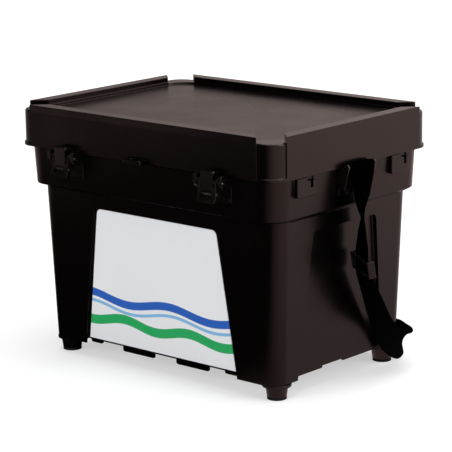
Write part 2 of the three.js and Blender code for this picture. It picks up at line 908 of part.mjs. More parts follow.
function latchClaw() {
  const back = latchPinY - latchPinRadius - fit;
  const front = back - clawPlateThickness;
  const hookLow = skirtZ + lugHeight + fit;
  const hookHigh = hookLow + hookThickness;
  const plateLow = clawPinZ + clawPlateRise;
  const plate = block([-clawPlateHalf, clawPlateHalf], [front, back], [plateLow, hookHigh - fit]);
  const hookOutline = [
    [-(lidDepth / 2 + hookReach), hookLow],
    [front, hookLow],
    [front, hookHigh - hookThickness / 2],
    [front + hookThickness / 2, hookHigh],
    [-(lidDepth / 2 + hookReach), hookHigh],
  ];
  const hook = prismX(hookOutline, -hookHalf, hookHalf);
  const ears = [-1, 1].map((side) => {
    const span = [side * clawEarHalf, side * (clawEarHalf - clawEarWidth)].sort((a, b) => a - b);
    const round = rod(clawEarRadius, [span[0], clawPinY, clawPinZ], [span[1], clawPinY, clawPinZ]);
    return join(round, block(span, [front, back], [clawPinZ, plateLow + clawPlateRise]));
  });
  const hole = rod(latchPinRadius + fit, [-overrun, clawPinY, clawPinZ], [overrun, clawPinY, clawPinZ]);
  return cut(join(plate, hook, ...ears), hole);
}

// Rear hinge, built at the middle of the back and placed by its group
function hingeHole() {
  return rod(hingePinRadius + fit, [-overrun, hingePinY, hingePinZ], [overrun, hingePinY, hingePinZ]);
}

function hingeLeafTub() {
  const high = hingePinZ;
  const low = high - tubLeafHeight;
  const faceAt = (z) => collarHalf(z).y + fit;
  const half = leafWidth / 2;
  const plate = prismX(
    [
      [faceAt(low), low],
      [faceAt(high), high],
      [faceAt(high) + leafThickness, high],
      [faceAt(low) + leafThickness, low],
    ],
    -half,
    half,
  );
  const inner = lidKnuckleHalf + knuckleGap;
  const arms = [
    [inner, half],
    [-half, -inner],
  ].map(([x0, x1]) => {
    const arm = block([x0, x1], [faceAt(high) + leafThickness / 2, hingePinY], [high - leafArmDrop, high]);
    return join(arm, rod(knuckleRadius, [x0, hingePinY, hingePinZ], [x1, hingePinY, hingePinZ]));
  });
  return cut(join(plate, ...arms), hingeHole(), ...tubLeafScrews(0).map(screwHole));
}

function hingeLeafLid() {
  const near = lidDepth / 2 + fit;
  const far = near + leafThickness;
  const half = leafWidth / 2;
  const low = hingePinZ + knuckleRadius + knuckleGap;
  const plate = block([-half, half], [near, far], [low, skirtZ + lidLeafHeight]);
  const knuckleSpan = [-lidKnuckleHalf, lidKnuckleHalf];
  const neck = block(knuckleSpan, [near, far], [hingePinZ, low + leafThickness]);
  const [from, to] = knuckleSpan.map((x) => [x, hingePinY, hingePinZ]);
  const knuckle = cut(
    rod(knuckleRadius, from, to),
    block([-overrun, overrun], [near - overrun, near], [hingePinZ - overrun, hingePinZ + overrun]),
  );
  return cut(join(plate, neck, knuckle), hingeHole(), ...lidLeafScrews(0).map(screwHole));
}

function hingePin() {
  const half = leafWidth / 2 - latchPinEndInset;
  return rod(hingePinRadius, [-half, hingePinY, hingePinZ], [half, hingePinY, hingePinZ]);
}

// Feet, turned about their own upright axis
function turned(profile) {
  const closed = [...profile, profile[0]].map(([r, z]) => new THREE.Vector2(r, z));
  return solid(new THREE.LatheGeometry(closed, footSides).rotateX(Math.PI / 2));
}

const cupLowZ = footPadHeight + fit;
const flangeLowZ = footHeight - footFlangeHeight;

function footCup() {
  return turned([
    [footScrewRadius + fit, cupLowZ],
    [footCupBottomRadius, cupLowZ],
    [footCupTopRadius, flangeLowZ - footPadBevel],
    [footFlangeRadius - footPadBevel, flangeLowZ],
    [footFlangeRadius, flangeLowZ + footPadBevel],
    [footFlangeRadius, footHeight],
    [footScrewRadius + fit, footHeight],
  ]);
}

function footPad() {
  return turned([
    [footScrewPocket, 0],
    [footCupBottomRadius - footPadBevel, 0],
    [footCupBottomRadius, footPadBevel],
    [footCupBottomRadius, footPadHeight],
    [footScrewPocket, footPadHeight],
  ]);
}

function footScrew() {
  const headLow = footPadHeight - footScrewHeadHeight;
  const head = rod(footScrewHeadRadius, [0, 0, headLow], [0, 0, footPadHeight]);
  return join(head, rod(footScrewRadius, [0, 0, headLow + footPadBevel], [0, 0, footScrewTop]));
}

// Bracket that the strap's end loops round
const bracketHalf = strapWidth / 2 + bracketSideGap + bracketCheek;
const bracketBarX = lidLength / 2 + bracketBarReach;
const bracketBarZ = skirtZ + bracketBarRise;

function strapBracket(side) {
  const high = skirtZ - bracketTopGap;
  const low = high - bracketHeight;
  const tongueLow = low - bracketTongue;
  const backAt = (z) => collarHalf(z).x + fit;
  const sided = (outline) => outline.map(([x, z]) => [side * x, z]);
  const plate = prismY(
    sided([
      [backAt(tongueLow), tongueLow],
      [backAt(high), high],
      [backAt(high) + bracketPlate, high],
      [backAt(tongueLow) + bracketPlate, tongueLow],
    ]),
    -bracketHalf,
    bracketHalf,
  );
  const headInner = bracketBarX - bracketHeadRadius;
  const cheek = sided([
    [backAt(high) + bracketPlate / 2, low],
    [bracketBarX - bracketFootSetback, low],
    ...arc(bracketBarX, bracketBarZ, bracketHeadRadius, 0, 1 / 2),
    [headInner, high],
    [backAt(high) + bracketPlate / 2, high],
  ]);
  const inner = bracketHalf - bracketCheek;
  const bar = rod(
    bracketBarRadius,
    [side * bracketBarX, -bracketHalf + fit, bracketBarZ],
    [side * bracketBarX, bracketHalf - fit, bracketBarZ],
  );
  const body = join(plate, prismY(cheek, inner, bracketHalf), prismY(cheek, -bracketHalf, -inner), bar);
  return cut(body, ...bracketScrews(side).map(screwHole));
}

// Strap: both ends follow the same route, mirrored left to right
function strapPoints() {
  const right = strapRoute.map(([x, y, z, u, v, w]) => ({
    at: new THREE.Vector3(x, y, z),
    across: new THREE.Vector3(u, v, w).normalize(),
  }));
  const left = right.slice(0, -1).map(({ at, across }) => ({
    at: new THREE.Vector3(-at.x, at.y, at.z),
    across: new THREE.Vector3(-across.x, across.y, across.z),
  }));
  return [...right, ...left.reverse()];
}

function strapFrames() {
  const points = strapPoints();
  const curve = new THREE.CatmullRomCurve3(points.map(({ at }) => at), false, "centripetal");
  const steps = (points.length - 1) * strapStepsPerPoint;
  return Array.from({ length: steps + 1 }, (_, step) => {
    const t = step / steps;
    const index = Math.min(Math.floor(step / strapStepsPerPoint), points.length - 2);
    const share = step / strapStepsPerPoint - index;
    const along = curve.getTangent(t);
    const across = points[index].across.clone().lerp(points[index + 1].across, share);
    across.addScaledVector(along, -across.dot(along)).normalize();
    return { at: curve.getPoint(t), across, out: along.clone().cross(across) };
  });
}

function strap() {
  const half = strapWidth / 2;
  const thin = strapThickness / 2;
  const edge = half - thin;
  const corner = thin * strapEdgeShare;
  const section = [
    [half, -corner],
    [half, corner],
    [edge, thin],
    [-edge, thin],
    [-half, corner],
    [-half, -corner],
    [-edge, -thin],
    [edge, -thin],
  ];
  const rings = strapFrames().map(({ at, across, out }) =>
    section.map(([u, v]) => at.clone().addScaledVector(across, u).addScaledVector(out, v).toArray()),
  );
  // Both faces take the same diagonals, so that they stay apart where the strap twists
  return solid(skin(rings, section.length / 2));
}

function slider() {
  const frames = strapFrames();
  const { at, across, out } = frames[(routeCountToSlider + 1 / 2) * strapStepsPerPoint];
  const inner = strapWidth / 2 + sliderSideGap;
  const outer = inner + sliderRail;
  const near = strapThickness / 2 + sliderClearance;
  const far = near + sliderThickness;
  const half = sliderLength / 2;
  const rails = [
    block([inner, outer], [-half, half], [-far, far]),
    block([-outer, -inner], [-half, half], [-far, far]),
  ];
  const bars = [
    block([-outer, outer], [-half, -half + sliderBar], [-far, -near]),
    block([-outer, outer], [half - sliderBar, half], [-far, -near]),
    block([-outer, outer], [-sliderBar / 2, sliderBar / 2], [near, far]),
  ];
  const mesh = piece("strap_slider", join(...rails, ...bars), sliderPlastic);
  const along = out.clone().cross(across);
  mesh.applyMatrix4(new THREE.Matrix4().makeBasis(across, along, out).setPosition(at));
  return mesh;
}

// Assembly
const seatBox = new THREE.Group();
const assembly = new THREE.Group();
assembly.position.y = centreShift;
seatBox.add(assembly);

assembly.add(piece("tub", tub(), blackPlastic));
assembly.add(piece("lid", lid(), blackPlastic));
assembly.add(piece("front_label", label(), labelWhite));

function addScrews(name, places) {
  places.forEach((place, index) => {
    assembly.add(piece(`${name}_${index + 1}`, screwSolid(place), screwSteel));
  });
}

[
  ["left", -1],
  ["right", 1],
].forEach(([name, side]) => {
  const latch = new THREE.Group();
  latch.position.x = side * latchX;
  latch.add(piece(`latch_base_${name}`, latchBase(), fittingPlastic));
  latch.add(piece(`latch_pin_${name}`, latchPin(), pinSteel));
  latch.add(piece(`latch_lever_${name}`, latchLever(), fittingPlastic));
  latch.add(piece(`claw_pin_${name}`, clawPin(), pinSteel));
  latch.add(piece(`latch_claw_${name}`, latchClaw(), fittingPlastic));
  assembly.add(latch);
  addScrews(`latch_screw_${name}`, latchScrews(side * latchX));

  const hinge = new THREE.Group();
  hinge.position.x = side * hingeX;
  hinge.add(piece(`hinge_leaf_tub_${name}`, hingeLeafTub(), fittingPlastic));
  hinge.add(piece(`hinge_leaf_lid_${name}`, hingeLeafLid(), fittingPlastic));
  hinge.add(piece(`hinge_pin_${name}`, hingePin(), pinSteel));
  assembly.add(hinge);
  addScrews(`hinge_screw_tub_${name}`, tubLeafScrews(side * hingeX));
  addScrews(`hinge_screw_lid_${name}`, lidLeafScrews(side * hingeX));

  assembly.add(piece(`strap_bracket_${name}`, strapBracket(side), fittingPlastic));
  addScrews(`bracket_screw_${name}`, bracketScrews(side));
});

footPlaces.forEach(([name, x, y]) => {
  const foot = new THREE.Group();
  foot.position.set(x, y, 0);
  foot.add(piece(`foot_cup_${name}`, footCup(), fittingPlastic));
  foot.add(piece(`foot_pad_${name}`, footPad(), padRubber));
  foot.add(piece(`foot_screw_${name}`, footScrew(), screwSteel));
  assembly.add(foot);
});

assembly.add(piece("shoulder_strap", strap(), strapWebbing));
assembly.add(slider());

export default seatBox;
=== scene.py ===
"""A moulded fishing seat box: shells, fittings, strap, finishes, studio and camera, in metres."""
import json
import math
from collections import Counter
from contextlib import contextmanager

import bmesh
import bpy
from mathutils import Matrix, Vector


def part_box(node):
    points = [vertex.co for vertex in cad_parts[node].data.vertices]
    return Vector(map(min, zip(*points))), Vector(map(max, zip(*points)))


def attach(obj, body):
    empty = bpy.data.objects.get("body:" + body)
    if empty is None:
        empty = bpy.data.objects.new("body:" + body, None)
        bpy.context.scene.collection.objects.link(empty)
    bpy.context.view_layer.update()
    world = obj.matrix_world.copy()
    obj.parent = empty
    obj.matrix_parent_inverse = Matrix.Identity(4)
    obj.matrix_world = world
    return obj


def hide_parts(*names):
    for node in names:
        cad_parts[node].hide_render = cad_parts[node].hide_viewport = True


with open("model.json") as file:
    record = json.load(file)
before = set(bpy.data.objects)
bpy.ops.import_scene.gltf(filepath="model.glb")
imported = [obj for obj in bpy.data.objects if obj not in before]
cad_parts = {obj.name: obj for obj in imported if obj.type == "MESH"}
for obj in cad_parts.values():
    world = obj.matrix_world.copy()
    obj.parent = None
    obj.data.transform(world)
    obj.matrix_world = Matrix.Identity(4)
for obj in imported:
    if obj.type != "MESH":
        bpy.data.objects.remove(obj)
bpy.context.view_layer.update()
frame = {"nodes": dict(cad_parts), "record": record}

tub_low, tub_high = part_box("tub")
lid_low, lid_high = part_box("lid")
middle_y = (tub_low.y + tub_high.y) / 2

# Photograph's frame and the camera that took it
mm = 0.001
photo_width = 452
sensor_width = 36.0
focal_pixels = 2148.585
camera_place = Vector((1.906354, -2.167236 + middle_y, 0.845422))
camera_yaw = 0.720252
camera_pitch = -0.225598
camera_roll = -0.013356
camera_reach = 50

# Walls, clearances and how far tools reach past what they cut
fit = 0.3 * mm
touch = fit / 10
wall = 3 * mm
overrun = 30 * mm

# Rounding of edges: widths, segments, and the angles that count as flat, smooth or sharp
edge_round = 0.55 * mm
lid_edge_round = 0.7 * mm
foot_edge_round = 0.4 * mm
merge_distance = 0.05 * mm
edge_segments = 2
fine_edge_segments = 3
round_segments = 4
corner_segments = 12
seat_corner_segments = 16
flat_angle = math.radians(0.5)
smooth_angle = math.radians(40)
strap_smooth_angle = math.radians(50)
sharp_angle = math.radians(30)
moulding_sharp_angle = math.radians(35)
turned_sharp_angle = math.radians(20)
aligned_share = 0.9

# Sides of round pieces and holes
rod_sides = 32
hole_sides = 24
head_sides = 40
pocket_sides = 48
turned_sides = 72

# Heights, one above the other
tub_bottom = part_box("foot_cup_front_left")[1].z + fit
shelf_low = tub_bottom + 216.7 * mm
shelf_high = shelf_low + 5.7 * mm
skirt_low = lid_low.z
seat_height = skirt_low + 47 * mm
lip_high = seat_height + 2.7 * mm
rail_high = lid_high.z
floor_low = tub_bottom + 6 * mm
floor_high = floor_low + wall
lid_under = seat_height - wall
rim_high = tub_high.z
ledge_high = skirt_low + 3 * mm

# Half sizes, left to right and front to back
lid_half = (lid_high.x, lid_high.y - middle_y)
collar_low_half = (lid_half[0] - 8.8 * mm, lid_half[1] - 10.2 * mm)
collar_flare = 2.5 * mm
shelf_half = (collar_low_half[0] - 7.2 * mm, collar_low_half[1] - 17 * mm)
bottom_half = (shelf_half[0] - 9 * mm, shelf_half[1] - 4.8 * mm)
rim_inset = 2.4 * mm
tub_radius = 22 * mm
collar_radius = 32 * mm
lid_radius = 26 * mm

# Sunk panels of the tub, each with its rounded floor
panel_top_half = 112 * mm
panel_bottom_half = 138.5 * mm
panel_high = tub_bottom + 196.7 * mm
panel_top_depth = 3.2 * mm
panel_bottom_depth = 5.6 * mm
end_top_half = 66 * mm
end_knee_half = 79 * mm
end_bottom_half = 90 * mm
end_knee = tub_bottom + 85.7 * mm
end_depth = 6 * mm
panel_fillet = 2.2 * mm
panel_corner = 7 * mm

# Posts and tabs under the floor
post_size = (45 * mm, 47 * mm)
tab_thickness = 3 * mm
tab_corner = 3.2 * mm

# Tabs at the front and back: start, stop, drop and setback. Tabs at the ends: start and stop
long_tabs = [(20 * mm, 79 * mm, 9.8 * mm, 12 * mm), (112 * mm, 134 * mm, 4.3 * mm, 6 * mm)]
end_tabs = [(12 * mm, 83 * mm), (-83 * mm, -31 * mm)]
end_tab_drop = 3.3 * mm
end_tab_corner = 2 * mm

# Sockets with their keyways
socket_face = collar_low_half[0] + collar_flare / 2 + 6.3 * mm
socket_from_front = 58 * mm
socket_size = (38 * mm, 25 * mm)
socket_top = skirt_low - 1 * mm
key_shift = 10.5 * mm
key_depth = 7 * mm
key_bar = (17.8 * mm, 5 * mm)
key_stem = (4.8 * mm, 9.2 * mm)
key_over = 0.5 * mm
key_joint = 1 * mm
socket_corner = 3 * mm
socket_edge = 1.3 * mm

# Lid
bead_height = 4.5 * mm
bead_step = 0.6 * mm
corner_recess = 0.9 * mm
top_inset = 0.9 * mm
lip_width = 18.5 * mm
lip_round = 2.6 * mm
seat_radius = 38 * mm
rail_width = 19 * mm
rail_ledge = 2 * mm
ledge_rise = 0.9 * mm
skirt_panel = 1.8 * mm
rib_size = (2.5 * mm, 7.5 * mm)
rib_reach = (205 * mm, 134 * mm)
rib_counts = (5, 3)
eye_tab = (32 * mm, 12 * mm, 6.5 * mm)
eye_tab_x = -3 * mm
eye_slot = (14 * mm, 7.6 * mm)
eye_corner = 4 * mm
latch_x = 132 * mm
lug_half = 11 * mm
lug_reach = 9.3 * mm
lug_height = 4 * mm
lug_slope = 1 * mm

# Screws and pins: radius of the shank, then radius and height of the head
small_screw = (1.5 * mm, 3.2 * mm, 2 * mm)
foot_screw = (2 * mm, 4 * mm, 2.3 * mm)
cross_reach_share = 0.6
cross_width_share = 0.17
cross_depth_share = 0.55
pin_radius = {"latch_pin": 1.5 * mm, "claw_pin": 1.5 * mm, "hinge_pin": 2 * mm}
pin_dome = 0.6 * mm

# Feet: heights and radii from the ground up
cup_levels = [
    (0.3 * mm, 13 * mm),
    (13.1 * mm, 15 * mm),
    (13.7 * mm, 18.9 * mm),
    (14.3 * mm, 19.5 * mm),
]
pad_radius = 13 * mm
pad_pocket = 4.3 * mm
pad_groove = (9.5 * mm, 7.5 * mm, 0.8 * mm)

# Rounding of the moulded fittings' edges
moulding_rounds = {
    "front_label": 0.35 * mm,
    "latch_base": 0.6 * mm,
    "latch_lever": 0.6 * mm,
    "latch_claw": 0.5 * mm,
    "hinge_leaf": 0.6 * mm,
    "strap_bracket": 0.6 * mm,
    "strap_slider": 0.7 * mm,
}

# Colours, as linear light
body_black = (0.0014, 0.001, 0.0009)
fitting_black = (0.0036, 0.003, 0.0028)
slider_black = (0.005, 0.005, 0.0055)
rubber_black = (0.01, 0.01, 0.01)
webbing_black = (0.0045, 0.0045, 0.005)
pin_grey = (0.55, 0.56, 0.57)
screw_grey = (0.05, 0.05, 0.052)
plastic_tint = (1.0, 0.8, 0.78)
label_white = (0.85, 0.86, 0.88)

# Surface patterns: where noise turns from low to high, its spots to the metre, and depths of relief
noise_band = (0.3, 0.7)
rub_band = (0.62, 0.8)
mottle_shades = (0.88, 1.12)
mottle_dulling = 0.04
rub_shades = (0, 0.2)
rub_polish = (0, 0.05)
cloud_shades = (0.985, 1.015)
label_dullness = (0.3, 0.38)
rubber_shades = (0.7, 1.3)
steel_shades = (0.85, 1.1)
steel_dulling = (-0.08, 0.1)
weave_band = (-1.5, 1.5)
thread_shades = (0.4, 1.6)
pick_share = 0.5
mottle_scale = 9.0
rub_scale = 38.0
grain_scale = 1500.0
cloud_scale = 6.0
label_grain_scale = 300.0
rubber_grain_scale = 900.0
drawn_stretch = (40, 900, 900)
line_scale = 3.0
grain_depth = 0.1 * mm
rubber_depth = 0.15 * mm
weave_depth = 0.3 * mm
polished_heights = (seat_height + 0.6 * mm, seat_height + 1.8 * mm)

# Weave: widths of one rib and one pick, and the painted shade that darkens the strap most at the
# bracket and less further down
rib_pitch = 3.1 * mm
pick_pitch = 1.3 * mm
strap_painted_shade = (0.16, 0.06, 0.1, 0.8)

# Print on the label: height, thickness, swing, length and start of each wave, with its ink
print_edge = 0.3 * mm
blue_ink = (0.02, 0.12, 0.52)
pale_ink = (0.22, 0.5, 0.8)
green_ink = (0.02, 0.42, 0.12)
label_waves = [
    (88 * mm, 11 * mm, 5 * mm, 150 * mm, -20 * mm, blue_ink),
    (79 * mm, 4 * mm, 5 * mm, 150 * mm, -14 * mm, pale_ink),
    (56 * mm, 13 * mm, 4.4 * mm, 118 * mm, 22 * mm, green_ink),
]

# Strap: middle line in millimetres about the box's middle, with the direction of its width
strap_width = 50 * mm
strap_thickness = 1.8 * mm
strap_camber = 0.8 * mm
strap_steps = 8
strap_columns = 12
thin_edge_share = 0.45
strap_route = [
    (233.3, 0, 284, 0, 1, 0),
    (233.3, 0, 298, 0, 1, 0),
    (235.4, 0, 301.6, 0, 1, 0),
    (239.6, 0, 301.6, 0, 1, 0),
    (241.7, 0, 298, 0, 1, 0),
    (242, 0, 283, -0.05, 1, 0),
    (241.5, 1, 252, -0.3, 0.95, 0),
    (240.5, 3, 222, -0.68, 0.73, 0),
    (238, 5, 196, -0.8, 0.6, 0),
    (237, 5, 174, -0.84, 0.54, 0),
    (237.5, 9, 153, -0.88, 0.47, 0),
    (236, 27, 120, -0.93, 0.36, -0.05),
    (232, 53, 80, -0.95, 0.28, -0.15),
    (228, 87, 46, -0.75, 0.25, -0.6),
    (212.5, 126, 27, -0.45, 0.25, -0.85),
    (192, 150.5, 26, -0.18, 0.3, -0.93),
    (158, 163, 25, -0.05, 0.3, -0.95),
    (118, 171, 20, 0, 0.6, -0.8),
    (66, 177, 6, 0, 0.97, -0.2),
    (0, 179, 1.7, 0, 1, 0),
]

# Floor, as the camera sees it
floor_size = 24
floor_grey = (0.6, 0.6, 0.6)
floor_roughness = 0.9
floor_sheen = 0.1
floor_fade = (0.8, 3.0, 0.5, 0.9)

# World's light, and what the plastic mirrors: each fade goes from one place to another and
# from one share of white to another
world_level = 0.4
bright_wall = (0.75, 0.64, 0.1)
wall_fade = (-0.35, 0.45, 0.0, 1.0)
left_wall = (-0.95, 0.3, 0.0)
left_wall_fade = (0.86, 0.98, 0.0, 0.5)
dark_wall = 0.01
mirrored_white = (1.0, 0.81, 0.77)
bright_floor_fade = (0.3, 1.9, 0.5, 1.0)
left_floor_rise = (-1.0, -1.35, 0.0, 0.5)
left_floor_fall = (-1.7, -2.6, 1.0, 0.0)

# Softboxes: place, what it faces, size, power and whether the plastic mirrors it
softboxes = {
    "top_softbox": ((0.2, 0.3, 2.6), (0, 0, 0.3), (2.4, 2.4), 50, True),
    "right_softbox": ((2.6, 0.6, 1.3), (0, 0, 0.2), (1.4, 1.8), 30, True),
    "front_softbox": ((-0.7, -3.2, 1.2), (0, 0, 0.1), (1.6, 1.6), 46, False),
}


# Camera
def add_camera():
    yaw, pitch, roll = camera_yaw, camera_pitch, camera_roll
    level = Vector((math.cos(yaw), math.sin(yaw), 0))
    forward = Vector((-math.sin(yaw), math.cos(yaw), 0))
    ahead = forward * math.cos(pitch) + Vector((0, 0, math.sin(pitch)))
    upright = level.cross(ahead)
    right = level * math.cos(roll) + upright * math.sin(roll)
    up = upright * math.cos(roll) - level * math.sin(roll)
    camera = bpy.data.objects.new("camera", bpy.data.cameras.new("camera"))
    camera.data.sensor_width = sensor_width
    camera.data.lens = sensor_width * focal_pixels / photo_width
    camera.data.clip_end = camera_reach
    axes = Matrix((right, up, -ahead)).transposed().to_4x4()
    camera.matrix_world = Matrix.Translation(camera_place) @ axes
    bpy.context.scene.collection.objects.link(camera)
    bpy.context.scene.camera = camera


# Bench work
def hold(piece):
    bpy.ops.object.select_all(action="DESELECT")
    piece.select_set(True)
    bpy.context.view_layer.objects.active = piece


@contextmanager
def editing(piece, kind="FACE"):
    hold(piece)
    bpy.ops.object.mode_set(mode="EDIT")
    bpy.ops.mesh.select_mode(type=kind)
    bpy.ops.mesh.select_all(action="DESELECT")
    yield
    bpy.ops.object.mode_set(mode="OBJECT")


def pick(piece, parts, test):
    mesh = bmesh.from_edit_mesh(piece.data)
    for part in getattr(mesh, parts):
        if test(part):
            part.select_set(True)
    mesh.select_flush_mode()
    bmesh.update_edit_mesh(piece.data)


def apply_modifier(piece, kind, **settings):
    hold(piece)
    modifier = piece.modifiers.new(kind.lower(), kind)
    for name, value in settings.items():
        setattr(modifier, name, value)
    bpy.ops.object.modifier_apply(modifier=modifier.name)


def settle(piece):
    hold(piece)
    bpy.ops.object.transform_apply(location=True, rotation=True, scale=True)
    return piece


def block(low, high):
    low, high = Vector(low), Vector(high)
    low, high = (Vector(map(choose, low, high)) for choose in (min, max))
    bpy.ops.object.select_all(action="DESELECT")
    bpy.ops.mesh.primitive_cube_add(size=1, location=(low + high) / 2, scale=high - low)
    return settle(bpy.context.object)


def rod(radius, start, end, sides=rod_sides):
    start, end = Vector(start), Vector(end)
    turn = (end - start).to_track_quat("Z", "Y").to_euler()
    bpy.ops.object.select_all(action="DESELECT")
    bpy.ops.mesh.primitive_cylinder_add(
        vertices=sides,
        radius=radius,
        depth=(end - start).length,
        location=(start + end) / 2,
        rotation=turn,
    )
    return settle(bpy.context.object)


def along(edge):
    a, b = (v.co for v in edge.verts)
    return (b - a).normalized()


def follows(edge, axis):
    return abs(along(edge)[axis]) > aligned_share


def is_upright(edge):
    return follows(edge, 2)


# Whether all the points of an edge or face lie at a height
def lies_at(part, height):
    return all(abs(v.co.z - height) < touch for v in part.verts)


def round_edges(piece, test, radius, segments=round_segments):
    with editing(piece, "EDGE"):
        pick(piece, "edges", test)
        bpy.ops.mesh.bevel(offset=radius, segments=segments, affect="EDGES", clamp_overlap=False)


# Selects the points at a height and gives their places
def pick_level(piece, height):
    pick(piece, "verts", lambda v: abs(v.co.z - height) < touch)
    return [v.co for v in bmesh.from_edit_mesh(piece.data).verts if v.select]


# Moves the points at one height out or in to a half size about the box's middle
def stretch_level(piece, height, half):
    with editing(piece, "VERT"):
        chosen = pick_level(piece, height)
        now = (max(co.x for co in chosen), max(co.y for co in chosen) - middle_y)
        scale = (half[0] / now[0], half[1] / now[1], 1)
        bpy.ops.transform.resize(value=scale, center_override=(0, middle_y, height))


# Draws the top or bottom face out to another height
def extrude_level(piece, height, next_height):
    with editing(piece, "FACE"):
        pick(piece, "faces", lambda f: lies_at(f, height))
        move = {"value": (0, 0, next_height - height)}
        bpy.ops.mesh.extrude_region_move(TRANSFORM_OT_translate=move)


def draw_out(piece, height, next_height, half):
    extrude_level(piece, height, next_height)
    stretch_level(piece, next_height, half)


# Body with rounded upright corners through levels of (height, half size)
def rounded_body(levels, radius, segments=corner_segments):
    (low, (x, y)), (high, high_half) = levels[:2]
    made = block((-x, middle_y - y, low), (x, middle_y + y, high))
    round_edges(made, is_upright, radius, segments)
    stretch_level(made, high, high_half)
    for (last, _), (height, half) in zip(levels[1:], levels[2:]):
        draw_out(made, last, height, half)
    return made


def combine(piece, others, operation):
    for other in others:
        apply_modifier(piece, "BOOLEAN", object=other, operation=operation, solver="EXACT")
        bpy.data.objects.remove(other)


def add_to(piece, *others):
    combine(piece, others, "UNION")


def cut_from(piece, *others):
    combine(piece, others, "DIFFERENCE")


# Cleans up after the joins, rounds every sharp edge and smooths the shading
def soften(piece, width=edge_round, segments=edge_segments, sharp=sharp_angle):
    with editing(piece, "VERT"):
        bpy.ops.mesh.select_all(action="SELECT")
        bpy.ops.mesh.remove_doubles(threshold=merge_distance)
        bpy.ops.mesh.dissolve_limited(angle_limit=flat_angle)
    apply_modifier(
        piece,
        "BEVEL",
        width=width,
        segments=segments,
        limit_method="ANGLE",
        angle_limit=sharp,
        use_clamp_overlap=False,
        miter_outer="MITER_ARC",
    )
    smooth(piece)
    apply_modifier(piece, "WEIGHTED_NORMAL", keep_sharp=True)


def smooth(piece, angle=smooth_angle):
    hold(piece)
    bpy.ops.object.shade_smooth_by_angle(angle=angle)


def finish_piece(piece, name, body, slot, *nodes):
    piece.name = name
    piece.data.name = name
    piece.data.materials.clear()
    piece.data.materials.append(finishes[slot])
    if nodes:
        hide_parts(*nodes)
    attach(piece, body)
    return piece


# Half sizes of the tub and of its collar at a height
def tub_half(height):
    rise = (height - tub_bottom) / (shelf_low - tub_bottom)
    return tuple(low + (high - low) * rise for low, high in zip(bottom_half, shelf_half))


def collar_half(height):
    flare = collar_flare * (height - shelf_high) / (skirt_low - shelf_high)
    return tuple(half + flare for half in collar_low_half)


def less(half, amount):
    return tuple(value - amount for value in half)


# Puts the points at one height at a half width and their inner side at a distance from the middle
def shape_level(cutter, height, half_width, face, side, axis):
    middle = Vector((0, middle_y, height))
    width_axis = 1 - axis
    with editing(cutter, "VERT"):
        chosen = pick_level(cutter, height)
        widest = max(abs(co[width_axis] - middle[width_axis]) for co in chosen)
        scale = [1, 1, 1]
        scale[width_axis] = half_width / widest
        bpy.ops.transform.resize(value=scale, center_override=middle)
    with editing(cutter, "VERT"):

        def out_to(vertex):
            return side * (vertex.co[axis] - middle[axis])

        level = [v for v in bmesh.from_edit_mesh(cutter.data).verts if abs(v.co.z - height) < touch]
        nearest = min(map(out_to, level))
        pick(cutter, "verts", lambda v: abs(v.co.z - height) < touch and out_to(v) < nearest + fit)
        shift = [0, 0, 0]
        shift[axis] = side * (face - nearest)
        bpy.ops.transform.translate(value=shift)


# Tool for a sunk panel: levels of (height, half width, distance of its floor from the box's middle)
def panel_tool(levels, side, axis, fillet, corner):
    far = lid_half[axis] + overrun
    (low, _, _), (high, _, _) = levels[:2]
    start, end = [0, 0, low], [0, 0, high]
    start[axis], end[axis] = side * far / 2, side * far
    start[1 - axis], end[1 - axis] = -far / 4, far / 4
    shift = Vector((0, middle_y, 0))
    tool = block(Vector(start) + shift, Vector(end) + shift)
    for (last, _, _), (height, _, _) in zip(levels[1:], levels[2:]):
        extrude_level(tool, last, height)
    for height, half_width, face in levels:
        shape_level(tool, height, half_width, face, side, axis)
    if corner:
        top = levels[-1][0]
        round_edges(
            tool,
            lambda e: all(abs(v.co.z - top) < fit for v in e.verts) and follows(e, axis),
            corner,
            round_segments + 2,
        )
    if fillet:
        border = floor_border(tool, side, axis, far - overrun / 2)
        round_edges(tool, lambda e: tuple(sorted(v.index for v in e.verts)) in border, fillet)
    return tool


# Edges round the tool's inner face, which makes the panel's floor, as pairs of point numbers
def floor_border(tool, side, axis, limit):
    points = tool.data.vertices
    middle = (0, middle_y, 0)[axis]
    edges = Counter()
    for face in tool.data.polygons:
        is_near = all(side * (points[i].co[axis] - middle) < limit for i in face.vertices)
        if side * face.normal[axis] < -aligned_share and is_near:
            edges.update(face.edge_keys)
    return {key for key, count in edges.items() if count == 1}


def sunk_panel(side, grow, fillet=0, corner=0):
    spread = (panel_bottom_half - panel_top_half) / (panel_high - tub_bottom)

    def level(height):
        down = panel_high - height
        deepening = (panel_bottom_depth - panel_top_depth) * down / (panel_high - tub_bottom)
        floor = tub_half(height)[1] - (panel_top_depth + deepening) - grow
        return height, panel_top_half + spread * down + grow, floor

    levels = [level(tub_bottom - overrun), level(panel_high + grow)]
    return panel_tool(levels, side, 1, fillet, corner)


def sunk_end_panel(side, grow, fillet=0, corner=0):
    halves = [
        (tub_bottom - overrun, end_bottom_half),
        (tub_bottom, end_bottom_half),
        (end_knee, end_knee_half),
        (panel_high + grow, end_top_half),
    ]
    levels = [
        (height, half + grow, tub_half(height)[0] - end_depth - grow) for height, half in halves
    ]
    return panel_tool(levels, side, 0, fillet, corner)


# Tub
def tub_outside():
    body_high = shelf_high + wall
    body = rounded_body([(tub_bottom, bottom_half), (body_high, tub_half(body_high))], tub_radius)
    collar = rounded_body(
        [
            (shelf_high, collar_low_half),
            (skirt_low, collar_half(skirt_low)),
            (ledge_high, less(collar_half(skirt_low), rim_inset)),
            (rim_high, less(collar_half(skirt_low), rim_inset)),
        ],
        collar_radius,
    )
    draw_out(collar, shelf_high, shelf_low, less(shelf_half, fit))
    add_to(body, collar)
    return body


